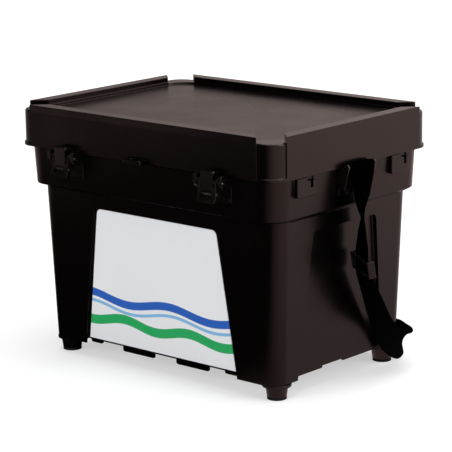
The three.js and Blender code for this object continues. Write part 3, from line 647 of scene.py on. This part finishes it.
def tub_cavity():
    cavity = rounded_body(
        [
            (floor_high, less(tub_half(floor_high), wall)),
            (shelf_low + wall, less(tub_half(shelf_low), wall)),
        ],
        tub_radius - wall,
    )
    round_edges(cavity, lambda e: lies_at(e, floor_high), wall)
    rim = less(collar_half(skirt_low), rim_inset + wall)
    upper = rounded_body(
        [
            (shelf_high + wall, less(collar_low_half, wall)),
            (rim_high, rim),
            (rim_high + overrun, rim),
        ],
        collar_radius - wall,
    )
    waist = less(tub_half(shelf_low), wall + fit)
    draw_out(upper, shelf_high + wall, shelf_low + wall, waist)
    add_to(cavity, upper)
    for panel in (sunk_panel, sunk_end_panel):
        cut_from(cavity, *(panel(side, wall) for side in (-1, 1)))
    return cavity


def underside_hollows():
    x, y = less(bottom_half, wall)
    post_x, post_y = (half - size for half, size in zip(bottom_half, post_size))
    low = tub_bottom - overrun
    return [
        block((-post_x, middle_y - y, low), (post_x, middle_y + y, floor_low)),
        block((-x, middle_y - post_y, low), (x, middle_y + post_y, floor_low)),
    ]


def underside_tabs():
    top = floor_high - wall / 2
    tabs = []
    for side in (-1, 1):
        for end in (-1, 1):
            for start, stop, drop, setback in long_tabs:
                face = middle_y + side * (bottom_half[1] - setback)
                tab = block(
                    (end * start, face, floor_low - drop),
                    (end * stop, face - side * tab_thickness, top),
                )
                round_low_corners(tab, floor_low - drop, 1, min(tab_corner, drop))
                tabs.append(tab)
        face = side * (bottom_half[0] - end_depth - fit)
        low = floor_low - end_tab_drop
        for start, stop in end_tabs:
            inner = face - side * tab_thickness
            tab = block((face, middle_y + start, low), (inner, middle_y + stop, top))
            round_low_corners(tab, low, 0, end_tab_corner)
            tabs.append(tab)
    return tabs


def round_low_corners(tab, low, axis, radius):
    round_edges(tab, lambda e: lies_at(e, low) and follows(e, axis), radius)


def socket_places():
    reach = collar_low_half[1] - socket_from_front
    return [(side, middle_y + end * reach) for side in (-1, 1) for end in (-1, 1)]


def socket_block(side, y):
    low = socket_top - socket_size[1]
    half = socket_size[0] / 2
    root = collar_low_half[0] - wall / 2
    made = block((side * root, y - half, low), (side * socket_face, y + half, socket_top))

    def is_outer_low(edge):
        return lies_at(edge, low) and follows(edge, 0)

    round_edges(made, is_outer_low, socket_corner, round_segments + 1)

    def is_outer(edge):
        on_face = all(abs(abs(v.co.x) - socket_face) < touch for v in edge.verts)
        return on_face and any(v.co.z < socket_top - fit for v in edge.verts)

    round_edges(made, is_outer, socket_edge)
    return made


def keyway(side, y):
    centre = y + key_shift
    depth = side * (socket_face - key_depth), side * (socket_face + overrun)
    bar_low = socket_top - key_bar[1]
    bar = block(
        (depth[0], centre - key_bar[0] / 2, bar_low),
        (depth[1], centre + key_bar[0] / 2, socket_top + key_over),
    )
    stem = block(
        (depth[0], centre - key_stem[0] / 2, bar_low - key_stem[1]),
        (depth[1], centre + key_stem[0] / 2, bar_low + key_joint),
    )
    add_to(bar, stem)
    return bar


# Place under a screw's head and the way that the head faces, from the screw's own box
def screw_place(name):
    low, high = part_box(name)
    middle = (low + high) / 2
    if name.startswith("foot"):
        return Vector((middle.x, middle.y, low.z)), Vector((0, 0, -1))
    if name.startswith("bracket"):
        side = math.copysign(1, middle.x)
        return Vector((high.x if side > 0 else low.x, middle.y, middle.z)), Vector((side, 0, 0))
    side = math.copysign(1, middle.y)
    return Vector((middle.x, high.y if side > 0 else low.y, middle.z)), Vector((0, side, 0))


def screw_hole(name, radius, reach=overrun):
    at, out = screw_place(name)
    return rod(radius + fit, at - out * reach, at + out * overrun, hole_sides)


def screw_names(*starts):
    return [name for name in frame["nodes"] if name.startswith(starts) and "screw" in name]


def add_tub():
    tub = tub_outside()
    cut_from(tub, *underside_hollows())
    for panel in (sunk_panel, sunk_end_panel):
        cut_from(tub, *(panel(side, 0, panel_fillet, panel_corner) for side in (-1, 1)))
    cut_from(tub, tub_cavity())
    add_to(tub, *underside_tabs())
    add_to(tub, *(socket_block(side, y) for side, y in socket_places()))
    cut_from(tub, *(keyway(side, y) for side, y in socket_places()))
    small = screw_names("latch_screw", "hinge_screw_tub", "bracket_screw")
    cut_from(tub, *(screw_hole(name, small_screw[0]) for name in small))
    foot_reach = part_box("foot_screw_front_left")[1].z + fit
    feet = screw_names("foot_screw")
    cut_from(tub, *(screw_hole(name, foot_screw[0], foot_reach) for name in feet))
    soften(tub)
    return finish_piece(tub, "tub_shell", "box", "body_plastic", "tub")


# Lid
def lid_outside():
    inside_bead = less(lid_half, bead_step + corner_recess)
    made = rounded_body(
        [
            (skirt_low, lid_half),
            (skirt_low + bead_height, lid_half),
            (skirt_low + bead_height + bead_step, inside_bead),
            (lip_high, inside_bead),
        ],
        lid_radius,
    )
    round_edges(made, lambda e: lies_at(e, lip_high), lip_round, round_segments + 1)
    return made


def seat_pocket():
    half = less(lid_half, top_inset + lip_width)
    levels = [(seat_height, half), (rail_high + overrun, half)]
    return rounded_body(levels, seat_radius, seat_corner_segments)


# Bar along one side of the lid, its ends cut along the diagonals of the corners
def side_bar(axis, side, width, low, high):
    outer = lid_half[axis]
    reach = lid_half[1 - axis] - top_inset - lid_radius
    inner = outer - width
    middle = Vector((0, middle_y, 0))
    start, end = [0, 0, low], [0, 0, high]
    start[axis], end[axis] = side * inner, side * outer
    start[1 - axis], end[1 - axis] = -reach, reach
    bar = block(Vector(start) + middle, Vector(end) + middle)
    with editing(bar, "VERT"):
        pick(bar, "verts", lambda v: abs(abs(v.co[axis] - middle[axis]) - inner) < touch)
        scale = [1, 1, 1]
        scale[1 - axis] = (reach - width) / reach
        bpy.ops.transform.resize(value=scale, center_override=middle)
    return bar


# Rails with their ledges, and the flat panels under them that stand proud of the skirt's corners
def rails():
    root = lid_under + wall / 2
    steps = [
        (rail_width + rail_ledge, root, lip_high + ledge_rise),
        (rail_width, root, rail_high),
        (skirt_panel, skirt_low, seat_height),
    ]
    return [side_bar(axis, side, *step) for axis in (0, 1) for side in (-1, 1) for step in steps]


def lid_hollow():
    inner = less(lid_half, wall)
    levels = [(skirt_low - overrun, inner), (skirt_low, inner), (lid_under, less(inner, top_inset))]
    return rounded_body(levels, lid_radius - wall)


def ribs():
    low, high = lid_under - rib_size[1], seat_height - wall / 2
    made = []
    for axis, count in enumerate(rib_counts):
        for index in range(count):
            place = rib_reach[axis] * (2 * (index + 1) / (count + 1) - 1)
            start, end = [0, 0, low], [0, 0, high]
            start[axis], end[axis] = place - rib_size[0] / 2, place + rib_size[0] / 2
            start[1 - axis], end[1 - axis] = -rib_reach[1 - axis], rib_reach[1 - axis]
            shift = Vector((0, middle_y, 0))
            made.append(block(Vector(start) + shift, Vector(end) + shift))
    return made


def catch_lug(x):
    root = middle_y - lid_half[1] + wall / 2
    front = middle_y - lid_half[1] - lug_reach
    made = block((x - lug_half, front, skirt_low), (x + lug_half, root, skirt_low + lug_height))
    with editing(made, "VERT"):
        pick(made, "verts", lambda v: v.co.z > skirt_low + fit and v.co.y < root - fit)
        bpy.ops.transform.translate(value=(0, 0, -lug_slope))
    return made


def eye_tab_block():
    width, reach, height = eye_tab
    root = middle_y - lid_half[1] + wall / 2
    front = middle_y - lid_half[1] - reach
    made = block(
        (eye_tab_x - width / 2, front, skirt_low),
        (eye_tab_x + width / 2, root, skirt_low + height),
    )

    def is_front_corner(edge):
        return is_upright(edge) and all(abs(v.co.y - front) < fit for v in edge.verts)

    round_edges(made, is_front_corner, eye_corner, round_segments + 2)
    return made


def eye_hole():
    length, width = eye_slot
    y = middle_y - lid_half[1] - eye_tab[1] / 2
    made = block(
        (eye_tab_x - length / 2, y - width / 2, skirt_low - overrun),
        (eye_tab_x + length / 2, y + width / 2, skirt_low + overrun),
    )
    round_edges(made, is_upright, width / 2 - touch, 2 * round_segments)
    return made


def add_lid():
    lid = lid_outside()
    cut_from(lid, seat_pocket())
    add_to(lid, *rails())
    cut_from(lid, lid_hollow())
    add_to(lid, *ribs())
    add_to(lid, *(catch_lug(side * latch_x) for side in (-1, 1)), eye_tab_block())
    cut_from(lid, eye_hole())
    cut_from(lid, *(screw_hole(name, small_screw[0]) for name in screw_names("hinge_screw_lid")))
    soften(lid, lid_edge_round, fine_edge_segments)
    return finish_piece(lid, "lid_shell", "lid", "body_plastic", "lid")


# Fittings
def body_of(name):
    side = name.rsplit("_", 1)[-1]
    if name.startswith(("latch_lever", "claw_pin")):
        return "lever_" + side
    if name.startswith("latch_claw"):
        return "claw_" + side
    return "lid" if name.startswith(("hinge_leaf_lid", "hinge_screw_lid")) else "box"


# Moulded fitting: its solid with the facets merged and every edge rounded
def add_moulding(name, width):
    moulding = bpy.data.objects.new(name + "_moulding", frame["nodes"][name].data.copy())
    bpy.context.scene.collection.objects.link(moulding)
    soften(moulding, width, fine_edge_segments, moulding_sharp_angle)
    return finish_piece(moulding, moulding.name, body_of(name), slots[name], name)


def add_pin(name, radius):
    low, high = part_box(name)
    middle = (low + high) / 2
    pin = rod(radius, (low.x, middle.y, middle.z), (high.x, middle.y, middle.z), head_sides)
    round_edges(pin, lambda e: not follows(e, 0), pin_dome)
    smooth(pin)
    finish_piece(pin, name + "_domed", body_of(name), slots[name], name)


def add_screw(name):
    shank, head, height = foot_screw if name.startswith("foot") else small_screw
    at, out = screw_place(name)
    low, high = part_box(name)
    length = abs((high - low).dot(out))
    screw = rod(head, at, at - out * height, head_sides)
    deep = height * cross_depth_share

    def is_on_top(edge):
        return all(abs((v.co - at).dot(out)) < touch for v in edge.verts)

    round_edges(screw, is_on_top, deep, round_segments + 1)
    add_to(screw, rod(shank, at - out * height / 2, at - out * length, hole_sides))
    for axis in (0, 1, 2):
        if not out[axis]:
            half = Vector(deep if way else head * cross_width_share for way in out)
            half[axis] = head * cross_reach_share
            cut_from(screw, block(at - half, at + half))
    smooth(screw)
    finish_piece(screw, name + "_cross_head", body_of(name), slots[name], name)


# Body turned about an upright line, through levels of (height, radius)
def turned_body(middle, levels):
    (low, first), (high, _) = levels[:2]
    made = upright_rod(first, middle, low, high, turned_sides)
    for (last, before), (height, radius) in zip(levels, levels[1:]):
        if height > high:
            extrude_level(made, last, height)
        with editing(made, "VERT"):
            pick_level(made, height)
            scale = (radius / before, radius / before, 1)
            bpy.ops.transform.resize(value=scale, center_override=(middle.x, middle.y, height))
    return made


def upright_rod(radius, middle, low, high, sides):
    return rod(radius, (middle.x, middle.y, low), (middle.x, middle.y, high), sides)


def add_foot(corner):
    cup_name, pad_name = "foot_cup_" + corner, "foot_pad_" + corner
    low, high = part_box(cup_name)
    middle = (low + high) / 2
    ground = low.z - cup_levels[0][0]
    levels = [(ground + height, radius) for height, radius in cup_levels]
    cup = turned_body(middle, [*levels, (high.z, cup_levels[-1][1])])
    hole = foot_screw[0] + fit
    cut_from(cup, upright_rod(hole, middle, low.z - wall, high.z + wall, rod_sides))
    soften(cup, foot_edge_round, fine_edge_segments, turned_sharp_angle)
    finish_piece(cup, cup_name + "_turned", "box", "fitting_plastic", cup_name)
    low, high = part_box(pad_name)
    pad = turned_body(middle, [(low.z, pad_radius), (high.z, pad_radius)])
    outer, inner, depth = pad_groove
    ring = turned_body(middle, [(low.z - wall, outer), (low.z + depth, outer)])
    cut_from(ring, upright_rod(inner, middle, low.z - 2 * wall, low.z + wall, turned_sides))
    pocket = upright_rod(pad_pocket, middle, low.z - wall, high.z + wall, pocket_sides)
    cut_from(pad, pocket, ring)
    soften(pad, foot_edge_round, fine_edge_segments)
    finish_piece(pad, pad_name + "_turned", "box", "pad_rubber", pad_name)


def add_fittings():
    for name in frame["nodes"]:
        for start, width in moulding_rounds.items():
            if name.startswith(start) and name != "strap_slider":
                add_moulding(name, width)
        for start, radius in pin_radius.items():
            if name.startswith(start):
                add_pin(name, radius)
    for name in screw_names(""):
        add_screw(name)
    for corner in ("front_left", "front_right", "back_left", "back_right"):
        add_foot(corner)


# Materials
def node(tree, kind, inputs=None, **settings):
    made = tree.nodes.new(kind)
    for name, value in settings.items():
        setattr(made, name, value)
    for socket, value in (inputs or {}).items():
        if isinstance(value, bpy.types.NodeSocket):
            tree.links.new(value, made.inputs[socket])
        else:
            made.inputs[socket].default_value = value
    return made


def new_material(name):
    material = bpy.data.materials.new(name)
    material.use_nodes = True
    return material, material.node_tree, material.node_tree.nodes["Principled BSDF"]


def sum_of(tree, first, second, operation="ADD"):
    return node(tree, "ShaderNodeMath", {0: first, 1: second}, operation=operation).outputs[0]


def object_place(tree):
    return node(tree, "ShaderNodeTexCoord").outputs["Object"]


def noise(tree, place, scale, detail, roughness=0.55):
    values = {"Vector": place, "Scale": scale, "Detail": detail, "Roughness": roughness}
    return node(tree, "ShaderNodeTexNoise", values).outputs["Fac"]


def remap(tree, value, low, high, to_low, to_high):
    values = {0: value, 1: low, 2: high, 3: to_low, 4: to_high}
    return node(tree, "ShaderNodeMapRange", values).outputs[0]


def shaded(tree, colour, factor):
    values = {"Color": (*colour, 1), "Value": factor}
    return node(tree, "ShaderNodeHueSaturation", values).outputs["Color"]


# Sine of a length along one pattern, which repeats after a pitch
def wave(tree, length, pitch):
    turn = sum_of(tree, length, 2 * math.pi / pitch, "MULTIPLY")
    return node(tree, "ShaderNodeMath", {0: turn}, operation="SINE").outputs[0]


def bump(tree, height, strength, distance):
    values = {"Strength": strength, "Distance": distance, "Height": height}
    return node(tree, "ShaderNodeBump", values).outputs["Normal"]


# Satin plastic with a fine grain, slow mottling and soft rubbed patches, smoother on the rails
def moulded_plastic(name, colour, roughness, grain, sheen, rail_polish=0.0):
    material, tree, shader = new_material(name)
    place = object_place(tree)
    mottle = noise(tree, place, mottle_scale, detail=2.0)
    rubbed = noise(tree, place, rub_scale, detail=5.0, roughness=0.7)
    shade = remap(tree, mottle, *noise_band, *mottle_shades)
    level = sum_of(tree, shade, remap(tree, rubbed, *rub_band, *rub_shades))
    tree.links.new(shaded(tree, colour, level), shader.inputs["Base Color"])
    duller, smoother = roughness + mottle_dulling, roughness - mottle_dulling
    dullness = remap(tree, mottle, *noise_band, duller, smoother)
    polish = remap(tree, rubbed, *rub_band, *rub_polish)
    dullness = sum_of(tree, dullness, polish, "SUBTRACT")
    if rail_polish:
        height = node(tree, "ShaderNodeSeparateXYZ", {"Vector": place}).outputs["Z"]
        polish = remap(tree, height, *polished_heights, 0, rail_polish)
        dullness = sum_of(tree, dullness, polish, "SUBTRACT")
    tree.links.new(dullness, shader.inputs["Roughness"])
    fine = noise(tree, place, grain_scale, detail=2.0, roughness=0.6)
    relief = bump(tree, fine, strength=grain, distance=grain_depth)
    tree.links.new(relief, shader.inputs["Normal"])
    shader.inputs["Specular IOR Level"].default_value = sheen
    shader.inputs["Specular Tint"].default_value = (*plastic_tint, 1)
    return material


# White plate with a printed band of waves along its foot
def printed_label(name, grain):
    material, tree, shader = new_material(name)
    place = object_place(tree)
    split = node(tree, "ShaderNodeSeparateXYZ", {"Vector": place})
    across, height = split.outputs["X"], split.outputs["Z"]
    cloud = noise(tree, place, cloud_scale, detail=2.0)
    colour = shaded(tree, label_white, remap(tree, cloud, *noise_band, *cloud_shades))
    for low, thick, rise, length, start, ink in label_waves:
        swing = wave(tree, sum_of(tree, across, start, "SUBTRACT"), length)
        middle = sum_of(tree, sum_of(tree, swing, rise, "MULTIPLY"), low + thick / 2)
        away = {0: sum_of(tree, height, middle, "SUBTRACT")}
        off = node(tree, "ShaderNodeMath", away, operation="ABSOLUTE").outputs[0]
        covered = remap(tree, off, thick / 2, thick / 2 + print_edge, 1, 0)
        mixed = node(tree, "ShaderNodeMix", {"Factor": covered}, data_type="RGBA")
        tree.links.new(colour, mixed.inputs["A"])
        mixed.inputs["B"].default_value = (*ink, 1)
        colour = mixed.outputs["Result"]
    tree.links.new(colour, shader.inputs["Base Color"])
    dullness = remap(tree, cloud, *noise_band, *label_dullness)
    tree.links.new(dullness, shader.inputs["Roughness"])
    fine = noise(tree, place, label_grain_scale, detail=2.0)
    relief = bump(tree, fine, strength=grain, distance=grain_depth)
    tree.links.new(relief, shader.inputs["Normal"])
    return material


def dark_rubber(name, roughness, grain, sheen):
    material, tree, shader = new_material(name)
    fine = noise(tree, object_place(tree), rubber_grain_scale, detail=4.0)
    colour = shaded(tree, rubber_black, remap(tree, fine, *noise_band, *rubber_shades))
    tree.links.new(colour, shader.inputs["Base Color"])
    shader.inputs["Roughness"].default_value = roughness
    shader.inputs["Specular IOR Level"].default_value = sheen
    relief = bump(tree, fine, strength=grain, distance=rubber_depth)
    tree.links.new(relief, shader.inputs["Normal"])
    return material


def steel(name, colour, roughness):
    material, tree, shader = new_material(name)
    stretched = {"Vector": object_place(tree), "Scale": drawn_stretch}
    drawn = node(tree, "ShaderNodeMapping", stretched).outputs[0]
    lines = noise(tree, drawn, line_scale, detail=3.0)
    level = remap(tree, lines, *noise_band, *steel_shades)
    tree.links.new(shaded(tree, colour, level), shader.inputs["Base Color"])
    dulling = (roughness + change for change in steel_dulling)
    dullness = remap(tree, lines, *noise_band, *dulling)
    tree.links.new(dullness, shader.inputs["Roughness"])
    shader.inputs["Metallic"].default_value = 1.0
    return material


# Woven strap: ribs along its length and picks across it
def webbing(name, roughness, grain, sheen):
    material, tree, shader = new_material(name)
    unrolled = node(tree, "ShaderNodeUVMap").outputs["UV"]
    split = node(tree, "ShaderNodeSeparateXYZ", {"Vector": unrolled})
    rib_wave = wave(tree, split.outputs["X"], rib_pitch)
    pick_wave = wave(tree, split.outputs["Y"], pick_pitch)
    weave = sum_of(tree, rib_wave, sum_of(tree, pick_wave, pick_share, "MULTIPLY"))
    height = node(tree, "ShaderNodeSeparateXYZ", {"Vector": object_place(tree)}).outputs["Z"]
    # Painted shade: the strap's colour is darkest high up by the bracket and lighter lower down
    painted_shade = remap(tree, height, *strap_painted_shade)
    threads = remap(tree, weave, *weave_band, *thread_shades)
    threads = sum_of(tree, threads, painted_shade, "MULTIPLY")
    tree.links.new(shaded(tree, webbing_black, threads), shader.inputs["Base Color"])
    shader.inputs["Roughness"].default_value = roughness
    shader.inputs["Specular IOR Level"].default_value = sheen
    relief = bump(tree, weave, strength=grain, distance=weave_depth)
    tree.links.new(relief, shader.inputs["Normal"])
    return material


finishes = {
    "body_plastic": moulded_plastic(
        "body_plastic", body_black, roughness=0.27, grain=0.12, sheen=0.36, rail_polish=0.08
    ),
    "fitting_plastic": moulded_plastic(
        "fitting_plastic", fitting_black, roughness=0.26, grain=0.05, sheen=0.55
    ),
    "label_white": printed_label("label_white", grain=0.03),
    "pad_rubber": dark_rubber("pad_rubber", roughness=0.88, grain=0.4, sheen=0.2),
    "pin_steel": steel("pin_steel", pin_grey, roughness=0.3),
    "screw_steel": steel("screw_steel", screw_grey, roughness=0.45),
    "strap_webbing": webbing("strap_webbing", roughness=0.9, grain=0.6, sheen=0.0),
    "slider_plastic": moulded_plastic(
        "slider_plastic", slider_black, roughness=0.25, grain=0.03, sheen=0.4
    ),
}


# Strap
def route_points():
    middle = Vector((0, middle_y, 0))
    right = [
        (Vector(row[:3]) * mm + middle, Vector(row[3:]).normalized()) for row in strap_route
    ]
    mirror = Vector((-1, 1, 1))
    left = [(at * mirror, across * mirror) for at, across in right[:-1]]
    return right + left[::-1]


# Point and direction on the smooth curve through four places
def curve_point(p0, p1, p2, p3, share):
    near, here, far = (math.sqrt((b - a).length) for a, b in ((p0, p1), (p1, p2), (p2, p3)))
    start = ((p1 - p0) / near - (p2 - p0) / (near + here) + (p2 - p1) / here) * here
    end = ((p2 - p1) / here - (p3 - p1) / (here + far) + (p3 - p2) / far) * here
    a, b = share, 1 - share
    place = p1 * (1 + 2 * a) * b * b + p2 * a * a * (1 + 2 * b)
    place += start * a * b * b - end * a * a * b
    slope = (p2 - p1) * 6 * a * b + start * b * (1 - 3 * a) + end * a * (3 * a - 2)
    return place, slope.normalized()


def strap_frames():
    points = route_points()
    places = [at for at, _ in points]
    places = [places[0] * 2 - places[1], *places, places[-1] * 2 - places[-2]]
    frames = []
    for index in range(len(points) - 1):
        for step in range(strap_steps):
            share = step / strap_steps
            at, ahead = curve_point(*places[index:index + 4], share)
            frames.append((at, ahead, points[index][1].lerp(points[index + 1][1], share)))
    frames.append((points[-1][0], frames[-1][1], points[-1][1]))
    squared = []
    for at, ahead, across in frames:
        across = (across - ahead * across.dot(ahead)).normalized()
        squared.append((at, ahead, across, ahead.cross(across)))
    return squared


def strap_section():
    half = strap_width / 2
    thin = strap_thickness / 2
    tops = []
    for column in range(strap_columns + 1):
        across = 2 * column / strap_columns - 1
        lift = strap_camber * (1 - across * across) - strap_camber / 2
        edge = min(1.0, (1 - abs(across)) * strap_columns / 2 + thin_edge_share)
        tops.append((across * half, lift, thin * edge))
    upper = [(u, lift + t) for u, lift, t in tops]
    lower = [(u, lift - t) for u, lift, t in reversed(tops)]
    return upper + lower


def add_strap(frames):
    section = strap_section()
    count = len(section)
    mesh = bmesh.new()
    layer = mesh.loops.layers.uv.new("weave")
    lengths = [0.0]
    for (a, *_), (b, *_) in zip(frames, frames[1:]):
        lengths.append(lengths[-1] + (b - a).length)
    rings = []
    for at, _, across, out in frames:
        rings.append([mesh.verts.new(at + across * u + out * v) for u, v in section])
    for step, (ring, following) in enumerate(zip(rings, rings[1:])):
        for i in range(count):
            j = (i + 1) % count
            face = mesh.faces.new((ring[i], ring[j], following[j], following[i]))
            places = (section[i][0], section[j][0], section[j][0], section[i][0])
            for loop, u, ahead in zip(face.loops, places, (0, 0, 1, 1)):
                loop[layer].uv = (u, lengths[step + ahead])
    mesh.faces.new(reversed(rings[0]))
    mesh.faces.new(rings[-1])
    bmesh.ops.recalc_face_normals(mesh, faces=mesh.faces)
    data = bpy.data.meshes.new("webbing_strap")
    mesh.to_mesh(data)
    mesh.free()
    strap = bpy.data.objects.new("webbing_strap", data)
    bpy.context.scene.collection.objects.link(strap)
    smooth(strap, strap_smooth_angle)
    finish_piece(strap, "webbing_strap", "box", "strap_webbing", "shoulder_strap")
    slider = add_moulding("strap_slider", moulding_rounds["strap_slider"])


# Studio
def add_softbox(name, place, target, size, power, mirrored):
    lamp = bpy.data.lights.new(name, "AREA")
    lamp.shape = "RECTANGLE"
    lamp.size, lamp.size_y = size
    lamp.energy = power
    made = bpy.data.objects.new(name, lamp)
    made.location = place
    made.rotation_euler = (Vector(target) - Vector(place)).to_track_quat("-Z", "Y").to_euler()
    made.visible_glossy = mirrored
    bpy.context.scene.collection.objects.link(made)


# Share of full white in a direction: a bright wall behind and right, a dimmer one to the left
def bright_side(tree, direction):
    ahead = node(tree, "ShaderNodeVectorMath", {0: direction}, operation="NORMALIZE").outputs[0]
    shares = []
    for wall_way, fade in ((bright_wall, wall_fade), (left_wall, left_wall_fade)):
        both = {0: ahead, 1: wall_way}
        facing = node(tree, "ShaderNodeVectorMath", both, operation="DOT_PRODUCT")
        shares.append(remap(tree, facing.outputs["Value"], *fade))
    return sum_of(tree, *shares, "MAXIMUM")


def add_floor():
    bpy.ops.object.select_all(action="DESELECT")
    bpy.ops.mesh.primitive_plane_add(size=floor_size, location=(0, 0, 0))
    floor = bpy.context.object
    floor.name = "studio_floor"
    material, tree, shader = new_material("studio_floor")
    shader.inputs["Base Color"].default_value = (*floor_grey, 1)
    shader.inputs["Roughness"].default_value = floor_roughness
    shader.inputs["Specular IOR Level"].default_value = floor_sheen
    shader.inputs["Emission Color"].default_value = (1, 1, 1, 1)
    rays = node(tree, "ShaderNodeLightPath").outputs
    place = object_place(tree)
    away = node(tree, "ShaderNodeVectorMath", {0: place}, operation="LENGTH").outputs["Value"]
    seen_white = remap(tree, away, *floor_fade)
    own_light = sum_of(tree, rays["Is Camera Ray"], seen_white, "MULTIPLY")
    tree.links.new(own_light, shader.inputs["Emission Strength"])
    mirrored = node(tree, "ShaderNodeEmission", {"Color": (*mirrored_white, 1)})
    side = bright_side(tree, place)
    bright = sum_of(tree, remap(tree, away, *bright_floor_fade), side, "MULTIPLY")
    leftwards = node(tree, "ShaderNodeSeparateXYZ", {"Vector": place}).outputs["X"]
    rise, fall = (remap(tree, leftwards, *fade) for fade in (left_floor_rise, left_floor_fall))
    shown = sum_of(tree, bright, sum_of(tree, rise, fall, "MULTIPLY"), "MAXIMUM")
    tree.links.new(shown, mirrored.inputs["Strength"])
    either = {0: rays["Is Glossy Ray"], 1: shader.outputs[0], 2: mirrored.outputs[0]}
    mixed = node(tree, "ShaderNodeMixShader", either)
    tree.links.new(mixed.outputs[0], tree.nodes["Material Output"].inputs["Surface"])
    floor.data.materials.append(material)


def add_world():
    world = bpy.data.worlds.new("studio")
    bpy.context.scene.world = world
    world.use_nodes = True
    tree = world.node_tree
    rays = node(tree, "ShaderNodeLightPath").outputs
    background = tree.nodes["Background"]
    background.inputs["Color"].default_value = (1, 1, 1, 1)
    mirrored = tree.nodes.new("ShaderNodeBackground")
    mirrored.inputs["Color"].default_value = (*mirrored_white, 1)
    side = sum_of(tree, bright_side(tree, object_direction(tree)), dark_wall, "MAXIMUM")
    tree.links.new(side, mirrored.inputs["Strength"])
    seen = sum_of(tree, rays["Is Camera Ray"], rays["Is Transmission Ray"], "MAXIMUM")
    tree.links.new(remap(tree, seen, 0, 1, world_level, 1.0), background.inputs["Strength"])
    either = {0: rays["Is Glossy Ray"], 1: background.outputs[0], 2: mirrored.outputs[0]}
    mixed = node(tree, "ShaderNodeMixShader", either)
    tree.links.new(mixed.outputs[0], tree.nodes["World Output"].inputs["Surface"])


def object_direction(tree):
    return node(tree, "ShaderNodeTexCoord").outputs["Generated"]


slots = {part["node"]: part["material_slot"] for part in frame["record"]["subparts"]}
add_camera()
add_strap(strap_frames())
add_tub()
add_lid()
add_fittings()

add_floor()
add_world()
for softbox, settings in softboxes.items():
    add_softbox(softbox, *settings)

bpy.context.scene.view_settings.view_transform = "Standard"
